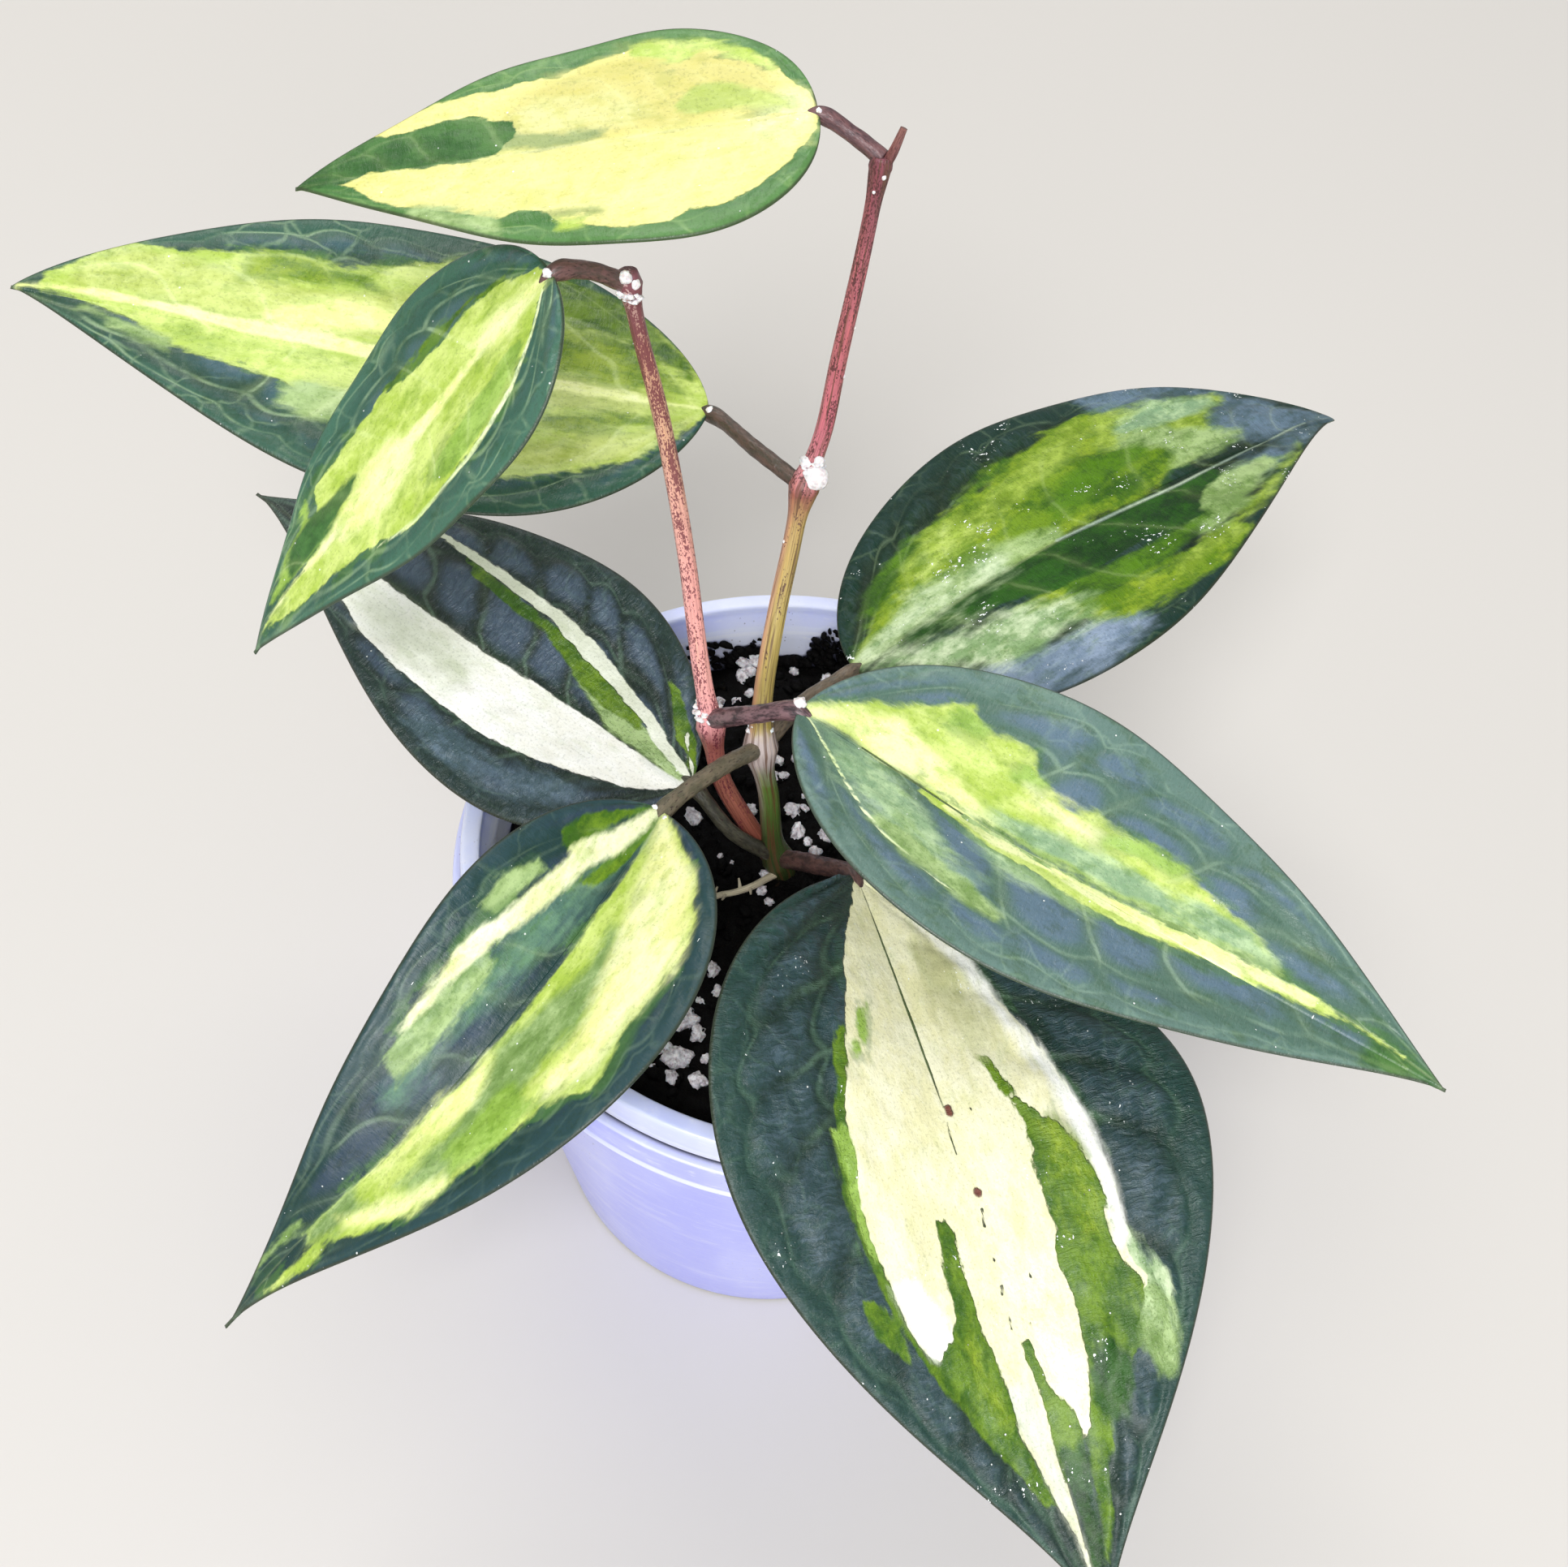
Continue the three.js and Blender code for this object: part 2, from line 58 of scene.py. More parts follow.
# Name, place, target, size, power and colour, in metres and watts.
LIGHTS = [
    ("key", (-0.6, 1.2, 2.2), (0, 0, 0.1), 1.6, 25, (1.0, 0.98, 0.95)),
    ("fill", (-0.2, -1.2, 1.6), (0, 0, 0.08), 0.7, 27, (0.98, 0.985, 1.0)),
    ("front", (0.3, -1.6, 0.9), (0, 0, 0.08), 1.0, 12, (0.97, 0.98, 1.0)),
]
SKY = {"colour": (0.94, 0.965, 1.0, 1), "strength": 0.52}

OUTER_POT = {
    "height": 83.8, "base": 37.5, "shoulder": 54.4, "rim": 57.3, "wall": 1.6, "floor": 2,
    "band": 7.4, "slope": 1.2,  # height of the rim band, and of the slope from the body up to it
    "parting": 69, "parting_reach": 0.3, "parting_depth": 0.22,
}
LINER = {
    "top": 90, "lip": 56, "mouth": 53, "skirt": 5.4, "bottom": 5, "base": 35.6, "neck": 52.2,
    "wall": 1.2, "floor": 1.4, "seat": 84.2,
    "drain_holes": 6, "drain_radius": 3.5, "drain_circle": 21,
}
POT_SIDES = 240
FILLET_STEPS = 5

SOIL = {
    "top": 79, "crown": 1.6, "rings": 80, "sides": 200, "clearance": 0.6, "over_floor": 0.3,
    "hummocks": [(20, 23, 0.5), (52, -11.5, 0.3)],  # wave lengths along X and Y, and height
    "roughness": 0.9,
}
# Crumbs on the soil and on the liner's back wall: how many, how far round to each side in degrees,
# and how high they reach, as the mean and the swing round it.
CRUMBS = {"on_soil": 900, "on_wall": 520, "spread": 52, "climb": (5, 9)}
LOOSE_PERLITE = 46  # lumps that are strewn beside the placed ones
SOIL_SEED = 12
# Perlite that shows between the leaves: its place on the soil and its radius.
PERLITE_SPOTS = [
    (-17, 46, 1.5), (-15, 47, 1.6), (-16, 44, 1.3), (-13.5, 45, 1.1), (-20, 36, 1.0),
    (-17, 37, 0.8), (-15, 39, 0.9), (-8, 47, 0.9), (-2, 46, 1.1), (1, 45, 0.9), (-8, 25, 1.0),
    (-6.5, 21.5, 0.9), (-4, 14, 1.3), (-2.5, 9, 1.5), (-0.5, 7.5, 0.8), (2.5, 9.5, 1.6),
    (1.0, 6.0, 1.0), (-6.5, 0, 1.1), (-6.5, -3.5, 0.9), (-5, -5.5, 0.8), (-15, -30, 2.0),
    (-12.5, -32, 1.4), (-15, -36.5, 2.1), (-17.5, -35, 1.2), (-11, -40, 1.3), (-15, -40.5, 1.2),
    (-12, -20, 1.2), (-10.5, -24, 1.0), (-13, -26.5, 0.7), (-2, 15.5, 0.7), (-3, 32, 0.7),
    (-5, 34, 0.9), (-10.5, -36, 0.9), (-18.5, -39.5, 0.8),
]

# Each stem from its foot up: its radii at both ends, and its nodes (height, swelling, reach).
STEMS = {
    "main": {
        "path": [
            (-2, 1, 56), (-3, 1.5, 70), (-3.5, 2, 79), (-6, 2.5, 86), (-8, 4, 96.5),
            (-10.5, 5, 107), (-11.5, 10.5, 114.5), (-11.5, 17.5, 124), (-11, 23.5, 132.5),
            (-10.5, 29, 141), (-9, 32, 150), (-8.5, 35, 161.5), (-7.5, 38.5, 178.5),
            (-7, 40, 193.5),
        ],
        "radii": (1.9, 1.05), "rows": 260,
        "nodes": [(82.5, 0.9, 3.2), (107, 1.15, 3.2), (141, 0.9, 2.8), (192, 0.5, 4)],
    },
    "side": {
        "path": [
            (-4.2, 2.2, 80.5), (-6.5, 3, 82.5), (-11, 3.5, 89.5), (-16, 4.5, 98.5),
            (-19, 6.5, 110), (-22, 10.5, 119.5), (-25.5, 15.5, 133), (-29, 19.5, 145.5),
            (-32.5, 22, 158), (-36.5, 23.5, 171), (-38.5, 24, 179.5),
        ],
        "radii": (1.62, 1.12), "rows": 210,
        "nodes": [(109, 0.8, 3), (177.5, 0.6, 2.6)],
    },
    "tip": {
        "path": [(-7, 40, 191), (-5.8, 39.8, 194), (-4.8, 41, 197.5)],
        "radii": (0.9, 0.5), "rows": 30,
    },
    "root": {
        "path": [
            (-3.6, 1.6, 80.6), (-5.5, -0.5, 81.2), (-8.5, -4.5, 82.8), (-11, -6, 82.6),
            (-13.5, -6.5, 81.6), (-17, -8.5, 79.6),
        ],
        "radii": (0.65, 0.45), "rows": 60,
    },
}
STEM_SIDES = 28
NODE_SCAR = (0.16, 0.45)  # height and reach of the ring that a leaf pair leaves
# Short side hairs of the aerial root: where each starts and ends.
ROOT_HAIRS = [
    ((-8.5, -4.5, 82.8), (-8.2, -6.4, 83.6)), ((-10, -5.4, 82.8), (-10.6, -3.8, 83.8)),
    ((-12.2, -6.2, 82.2), (-12.6, -8, 82.9)), ((-14.2, -6.8, 81.4), (-13.8, -5, 82)),
    ((-15.5, -7.6, 80.6), (-16.4, -6.4, 81.4)),
]
HAIR_RADII = (0.36, 0.16)
STEM_HEIGHTS = (75, 200)  # the stretch that the colours of the stems run over
# Colours up each stem: height, tone on the right flank, tone on the left flank.
STEM_TONES = {
    "main": [
        (79, "#232d12", "#2a3016"), (88, "#33481c", "#3c4c26"), (94, "#435c22", "#6a6e50"),
        (100, "#536a2c", "#a1968f"), (103, "#7f8468", "#b3a7a2"), (106, "#ad9f9b", "#b9aca8"),
        (110, "#b5a6a2", "#b3a19c"), (111, "#9c8840", "#be8c6a"), (125, "#b6a05a", "#ca9c80"),
        (137, "#b29458", "#c28e70"), (141, "#8b5248", "#8d5046"), (144, "#c88088", "#cf8c94"),
        (151, "#c66a78", "#ca7280"), (164, "#b8626a", "#c06e76"), (178, "#a65a64", "#ae646c"),
        (187, "#8a4854", "#925058"), (196, "#6e3642", "#6e3642"),
    ],
    "side": [
        (79, "#6a3a30", "#5c342c"), (88, "#8a4c3e", "#7d4238"), (98, "#a06050", "#94564a"),
        (107, "#9a5650", "#94504c"), (110, "#e09698", "#e09a9e"), (118, "#eeaaa0", "#f0aaa8"),
        (130, "#eaa29a", "#eeaca6"), (142, "#e0a494", "#e8ac9e"), (154, "#d2a284", "#d8a68e"),
        (168, "#bf8c72", "#c6927a"), (175, "#b18a86", "#b8908c"), (181, "#b8a0a2", "#b8a0a2"),
    ],
    "tip": [(190, "#6a3440", "#6a3440"), (198, "#8a5a50", "#8a5a50")],
    "root": [(79, "#dac9a8", "#dac9a8"), (84, "#eadcc0", "#eadcc0")],
}
# Skin of each stem: name, tone of its specks, how many specks and how strong its streaks are.
STEM_SKINS = {
    "main": ("main_stem_skin", "#4a1f22", 0.8, 0.85),
    "side": ("side_shoot_skin", "#6a2434", 1.6, 0.25),
    "tip": ("growing_tip_skin", "#4a1f22", 0.3, 0.5),
    "root": ("root_skin", "#6a5238", 0.3, 0.3),
}

LEAF_GRID = {"rows": 150, "half_columns": 44, "crowding": 0.75}
# `rim` is how far in the margin's rounding reaches, `crease` softens the fold, and `hollow` is how
# far the underside follows the puffed fields.
BLADE = {
    "thickness": 1.0, "rim": 1.3, "least_half_width": 0.3, "crease": 0.08, "hollow": 0.6,
    # Height or depth, and how far it reaches to each side.
    "keel": (0.7, 1.1), "under_vein": (0.12, 0.8), "rib_groove": (0.3, 0.6),
    "vein_groove_reach": 0.7,
}
MARGIN_WAVE = {"height": 0.5, "waves": 2.5, "offset": 2}
# The veins' course. `stagger` sets the laterals of one side before those of the other, and each
# wave is its height, as a share of the spacing, and how many there are along the blade.
VEINS = {
    "collector_start": 0.08, "outer": 0.82, "scallop": 0.08, "lean": 0.06, "curve": 0.1,
    "stagger": 0.22, "long_wave": (0.18, 1.7), "short_wave": (0.1, 4.3),
}
STALK = {
    "rows": 70, "sides": 24,
    "swelling": (0.22, 5.5, 1.6),  # its height, how far before the end it lies, and its reach
    "taper": 4, "thinnest": 0.35,  # length of the tapering end, and what is left, as a share
}

# Dark flecks of the front leaf: where each is, along and across the blade in hundredths.
FLECKS = [
    (36, 11), (48.7, 1.2), (50.2, 0.4), (54.5, -0.5), (58, -1.2), (58.3, -2.2), (61.5, -2.8),
    (62.8, -4), (57.5, 13), (63, 6.5), (33, -12), (44, -30),
]

# Each leaf's form as in the part, then its looks. `ground` has the green's tones beside the veins,
# between them and near the margin; the tone between them shows on the puffed fields and carries a
# painted sheen. `collector` is how far out the collecting vein runs, and `veins` how many laterals
# branch off to each side. `glow` is how strongly the veins show through pale layers, `puff` how far
# the fields between veins swell, and `splash_and_glint` how many white splashes and painted glints
# there are. `midrib` and `layers` give places on the blade in hundredths: along it from 0 at the
# base to 100 at the tip, and across it from -100 at the right margin to 100 at the left one.
# `midrib` is where the midrib lies: (along, across). `layers` are painted in order: a tone, how
# soft its edge is in mm, and its bands of (along, lower, upper).
LEAF_TOP = {
    "name": "leaf_top", "base": (-16.5, 42, 197), "length": 72.5, "heading": 197, "rise": -9,
    "droop": 9, "sweep": -12, "roll": -10, "twist": -6, "fold": 6, "arch": 0.04,
    "left": (19, 0.5, 1.15), "right": (17.5, 0.4, 0.9),
    "stalk": [(-7, 40, 193), (-11.4, 41.3, 194.9)], "stalk_radii": (1.25, 1.0),
    "stalk_tones": ("#4c3438", "#6d4a4a"), "slot": "cream_leaf",
    "ground": ("#3a6a32", "#4b7a3c", "#557f45"), "vein": "#a9c878", "vein_strength": 0.55,
    "collector": 0.6, "glow": 0.5, "puff": 0.12, "wrinkle": 0.3, "veins": 9, "sheen": 0.35,
    "splash_and_glint": 0.2, "midrib": [(0, 0), (100, 0)],
    "layers": [
        ("butter", 0.25,
         [(-10, -40, 62), (3, -50, 60), (6, -68, 64), (10, -76, 71), (15, -81, 77), (20, -82, 79),
          (26, -84, 76), (30, -84, 85), (40, -80, 87), (45, -77, 83), (48, -70, 85), (51, -77, 70),
          (56, -78, 66), (60, -74, 80), (66, -83, 78), (72, -93, 76), (80, -105, 84),
          (84, -105, 78), (88, -100, 50), (92, -90, 20)]),
        ("wheat", 2, [(5, -45, -2), (10, -74, -2), (30, -80, -2), (50, -72, -2), (60, -55, -6)]),
        ("cream", 3, [(-10, -50, 60), (4, -40, 50), (10, -10, 30)]),
        ("citron", 0.8,
         [(5, -20, -12), (10, -36, -10), (16, -42, -10), (22, -42, -12), (26, -30, -18)]),
        ("straw", 0.15, [(1, -1.4, 1.4), (30, -1.2, 1), (56, -0.6, 0.5)]),
        ("lime", 0.7,
         [(7, -75, -62), (12, -86, -70), (20, -86, -76), (24, -84, -66), (33, -84, -76)],
         [(44, 76, 86), (50, 74, 88)]),
        ("straw", 1.2,
         [(30, -30, -22), (36, -46, -12), (46, -50, -14), (56, -50, -20), (60, -46, -36)]),
        ("sage", 0.9, [(60, 72, 95), (66, 76, 100), (76, 84, 100)]),
        ("greyed", 0.8, [(40, -8, -6), (46, -13, -3), (52, -14, -3), (56, -20, -3), (66, -30, -2)]),
        ("fern", 0.25,
         [(57, -34, -24), (60, -40, -2), (65, -55, 1), (70, -62, 2), (76, -68, 3), (82, -82, 2),
          (86, -110, 2), (90, -110, 30), (110, -110, 80)]),
    ],
}

LEAF_BACK_LEFT = {
    "name": "leaf_back_left", "base": (-27.5, 43, 140), "length": 107.5, "heading": 186, "rise": 4,
    "droop": 1, "sweep": -5, "roll": -12, "twist": -8, "fold": 5, "arch": 0.06,
    "left": (25.5, 0.7, 1.3), "right": (24.5, 0.6, 0.85),
    "stalk": [(-10.5, 29, 141), (-18.5, 34, 142)], "stalk_radii": (1.3, 1.15),
    "stalk_tones": ("#3e372c", "#564238"), "slot": "lime_leaf",
    "ground": ("#214434", "#34545a", "#2e5644"), "vein": "#8fb58c", "vein_strength": 0.65,
    "collector": 0.6, "glow": 1, "puff": 0.25, "wrinkle": 0.4, "veins": 8, "sheen": 0.4,
    "splash_and_glint": 0.2, "midrib": [(0, 0), (50, 0), (70, -3), (80, -8), (90, -15), (100, -20)],
    "layers": [
        ("lime", 0.5,
         [(-10, -90, 55), (5, -95, 64), (12, -92, 72), (20, -90, 70), (28, -88, 76), (36, -82, 70),
          (42, -75, 64), (48, -67, 60), (55, -62, 50), (60, -64, 36), (66, -67, 36), (72, -70, 42),
          (78, -76, 42), (82, -90, 30), (88, -105, 16), (92, -90, 5), (96, -80, -5)]),
        ("sage", 0.9, [(50, 30, 60), (56, 34, 60), (60, 45, 60)],
         [(76, 30, 56), (84, 20, 50), (90, 5, 35)]),
        ("citron", 1.4, [(2, 30, 60), (10, 40, 66), (20, 42, 66), (32, 44, 66), (40, 52, 62)],
         [(44, -50, -10), (55, -42, -8), (65, -44, -10), (75, -60, -14), (85, -85, -20),
          (92, -80, -24)],
         [(5, -12, 14), (15, -10, 18), (26, -10, 20), (40, -5, 22), (48, 4, 14)]),
        ("olive", 1.2, [(8, 24, 30), (16, 20, 34), (25, 24, 36), (33, 30, 34)],
         [(4, -40, -20), (14, -55, -14), (26, -50, -14), (34, -40, -26)],
         [(50, -62, -46), (60, -62, -46), (68, -66, -50)]),
        ("moss", 1,
         [(3, -90, -60), (14, -95, -50), (22, -92, -52), (32, -84, -60), (40, -78, -70)]),
        ("lemon", 1.6, [(42, -28, -12), (50, -36, -12), (57, -36, -12), (64, -28, -14)]),
        ("lemon", 0.5,
         [(-10, -6, 6), (15, -4, 5), (40, -7, 3), (55, -8, 3), (70, -10, 1), (80, -16, -3),
          (90, -24, -10), (99, -30, -18)]),
    ],
}

LEAF_MIDDLE = {
    "name": "leaf_middle", "base": (-47.5, 17, 183), "length": 72, "heading": 217, "rise": -47,
    "droop": 6, "sweep": 0, "roll": 4, "twist": -12, "fold": 5, "arch": 0.06,
    "left": (17.5, 0.5, 1.25), "right": (18, 0.45, 1.05),
    "stalk": [(-38.4, 24, 177.5), (-43.3, 20.6, 181.4)], "stalk_radii": (1.35, 1.15),
    "stalk_tones": ("#4b3a33", "#6a4a46"), "slot": "lime_leaf",
    "ground": ("#305646", "#42605f", "#3d6652"), "vein": "#9cc09a", "vein_strength": 0.5,
    "collector": 0.64, "glow": 1, "puff": 0.2, "wrinkle": 0.35, "veins": 7, "sheen": 0.4,
    "splash_and_glint": 0.2, "midrib": [(0, 0), (60, 0), (75, -8), (85, -22), (92, -38), (100, -45)],
    "layers": [
        ("moss", 0.4, [(8, -45, -36), (20, -50, -40), (32, -50, -40), (42, -56, -48)]),
        ("lime", 0.25,
         [(-10, -12, 6), (2, -28, 16), (5, -33, 27), (10, -38, 42), (15, -42, 50), (22, -42, 56),
          (30, -40, 62), (36, -46, 64), (42, -54, 66), (50, -58, 68), (56, -60, 66), (61, -65, 60),
          (66, -66, 52), (69, -50, 50), (72, -15, 50), (80, -22, 48), (85, -30, 42), (89, -36, 20),
          (93, -45, -10), (97, -50, -30)]),
        ("lemon", 1.5, [(2, -10, 14), (12, -16, 16), (20, -10, 12)],
         [(44, -16, 18), (54, -22, 28), (62, -20, 24), (68, -10, 16)]),
        ("grass", 0.5,
         [(12, 30, 36), (16, 27, 48), (22, 30, 52), (30, 33, 58), (38, 38, 62), (43, 44, 54)],
         [(70, -75, -16), (76, -70, -20), (84, -70, -30), (90, -70, -42)]),
        ("fern", 0.6,
         [(57, -30, -26), (61, -33, -20), (66, -38, -18), (70, -60, -16), (76, -66, -20),
          (82, -60, -30)]),
        ("vein_pale", 0.2,
         [(3, 17, 22), (6, 30, 35), (10, 41, 45), (15, 49, 53), (22, 55, 59), (30, 61, 65),
          (40, 64.5, 68), (50, 67, 70), (56, 65, 68), (62, 59, 61)]),
        ("lemon", 0.45,
         [(-10, -12, 12), (5, -8, 8), (20, -5, 5), (50, -6, 5), (66, -8, 2), (75, -15, -3),
          (85, -30, -17), (92, -42, -34)]),
        ("seam", 0.12, [(78, -13, -10), (86, -28, -24), (93, -42, -39)]),
    ],
}

LEAF_LEFT = {
    "name": "leaf_left", "base": (-20.5, 2, 99), "length": 97, "heading": 158, "rise": 7,
    "droop": 15, "sweep": -14, "roll": -16, "twist": -1, "fold": 6, "arch": 0.04,
    "left": (23, 0.65, 1.6), "right": (23.5, 0.65, 1.2),
    "stalk": [(-5, 2.2, 83), (-13, -0.5, 91.5)], "stalk_radii": (1.3, 1.1),
    "stalk_tones": ("#36342c", "#4d4a3c"), "slot": "dark_leaf",
    "ground": ("#12241f", "#425264", "#1e342f"), "vein": "#5c7c72", "vein_strength": 0.6,
    "collector": 0.5, "glow": 0.2, "puff": 0.4, "wrinkle": 1.0, "veins": 9, "sheen": 0.5,
    "splash_and_glint": 0.3, "midrib": [(0, 12), (5, 5), (15, 2), (50, 1), (65, -3), (100, 0)],
    "layers": [
        # Painted sheen of the sky, blue-grey.
        ("slate_sheen", 2.4, [(14, 54, 70), (24, 60, 82), (34, 66, 86), (44, 70, 84)]),
        ("white", 0.2,
         [(-10, 18, 46), (3, 10, 42), (10, 3, 43), (15, 2, 44), (20, 1, 47), (30, 0, 53),
          (40, 1, 56), (50, 2, 60), (60, 0, 67), (66, -3, 68), (72, -3, 60), (78, 5, 50),
          (84, 15, 35)]),
        ("chalk", 3, [(42, 10, 42), (52, 12, 50), (64, 14, 56), (74, 16, 44)]),
        ("sage", 0.5,
         [(2, -5, 8), (8, -18, 3), (13, -25, 2), (17, -28, 0), (21, -26, -10), (26, -24, -17)]),
        ("moss", 0.3,
         [(12, -26, -14), (17, -30, -14), (22, -33, -16), (27, -38, -18), (30, -40, -26),
          (35, -43, -33), (42, -46, -35), (48, -50, -40), (53, -56, -44), (57, -60, -56)],
         [(-10, -95, -50), (3, -75, -36), (6, -70, -40), (10, -74, -60), (13, -74, -70)]),
        ("chalk", 0.2,
         [(-10, -15, 0), (3, -25, -8), (8, -32, -16), (14, -38, -26), (20, -42, -30),
          (28, -48, -36), (36, -53, -43), (45, -57, -48), (52, -61, -54), (58, -66, -60),
          (64, -72, -70)],
         [(-10, -60, -35), (3, -52, -42), (5, -62, -54)]),
    ],
}

LEAF_FRONT_LEFT = {
    "name": "leaf_front_left", "base": (-23, -16, 114), "length": 103, "heading": 255.5, "rise": -2,
    "droop": 52, "sweep": -44, "roll": -1, "twist": -10, "fold": 26, "arch": 0.04,
    "left": (24, 0.8, 1.8), "right": (19, 0.6, 1.4), "stalk": [(-10.5, 5, 107), (-16, -4.5, 112)],
    "stalk_radii": (1.45, 1.25), "stalk_tones": ("#57523f", "#6f6450"), "slot": "dark_leaf",
    "ground": ("#1a3735", "#293c4c", "#254144"), "vein": "#5f857b", "vein_strength": 0.28,
    "collector": 0.68, "glow": 0.8, "puff": 0.3, "wrinkle": 0.25, "veins": 9, "sheen": 0.3,
    "splash_and_glint": 0.4,
    "midrib": [(0, 10), (3, 7), (10, 3), (50, 2), (65, -3), (75, -12), (90, -20), (100, -20)],
    "layers": [
        ("lime", 0.5,
         [(-10, 12, 75), (4, 7, 70), (10, 3, 78), (16, 3, 80), (24, 2, 74), (30, 3, 70),
          (36, 3, 80), (39, 3, 82), (41, 3, 69), (47, 3, 67), (55, 0, 70), (61, 0, 72),
          (66, -4, 76), (71, -10, 68), (75, -14, 48), (79, -14, 25)],
         [(76, 20, 40), (81, 30, 75), (86, 35, 80), (90, 50, 75)]),
        ("sage", 1.4,
         [(20, 18, 24), (26, 20, 36), (33, 10, 42), (40, 5, 42), (47, 5, 48), (52, 25, 60),
          (60, 35, 62), (63, 40, 55)],
         [(69, -10, 30), (74, -14, 42), (79, -14, 28)]),
        ("grass", 1, [(44, 30, 60), (50, 36, 68), (57, 42, 62)]),
        ("cream", 1.8,
         [(-10, 15, 75), (5, 12, 66), (10, 22, 76), (20, 30, 76), (30, 42, 66), (36, 52, 72),
          (42, 50, 62)]),
        ("lemon", 1.3, [(43, 3, 10), (49, 3, 24), (55, 1, 24), (61, 0, 16), (66, -2, 8)],
         [(58, 58, 68), (65, 50, 72), (70, 36, 58), (73, 20, 36)]),
        ("teal", 2.2,
         [(6, -14, 2), (14, -26, -6), (22, -40, -12), (30, -46, -16), (38, -50, -22),
          (46, -50, -30), (56, -50, -36)]),
        ("moss", 0.4, [(1, -4, 6), (5, -15, 3), (10, -20, -2), (14, -24, -10), (17, -28, -18)],
         [(1, -50, -35), (5, -70, -40), (8, -78, -45), (12, -74, -50), (14, -60, -50)]),
        ("sage", 0.6, [(18, -66, -54), (22, -76, -56), (28, -72, -60)],
         [(33, -60, -40), (40, -62, -36), (45, -68, -33), (50, -70, -40), (54, -68, -50)],
         [(78, -48, -40), (82, -64, -50), (86, -85, -68), (90, -100, -90)]),
        ("pale", 0.7,
         [(-10, -30, -2), (3, -35, -8), (7, -42, -14), (11, -52, -20), (13.5, -56, -28),
          (15, -47, -32), (20, -52, -36), (26, -57, -42), (32, -64, -50), (38, -68, -56),
          (44, -70, -59), (49, -70, -66)]),
    ],
}

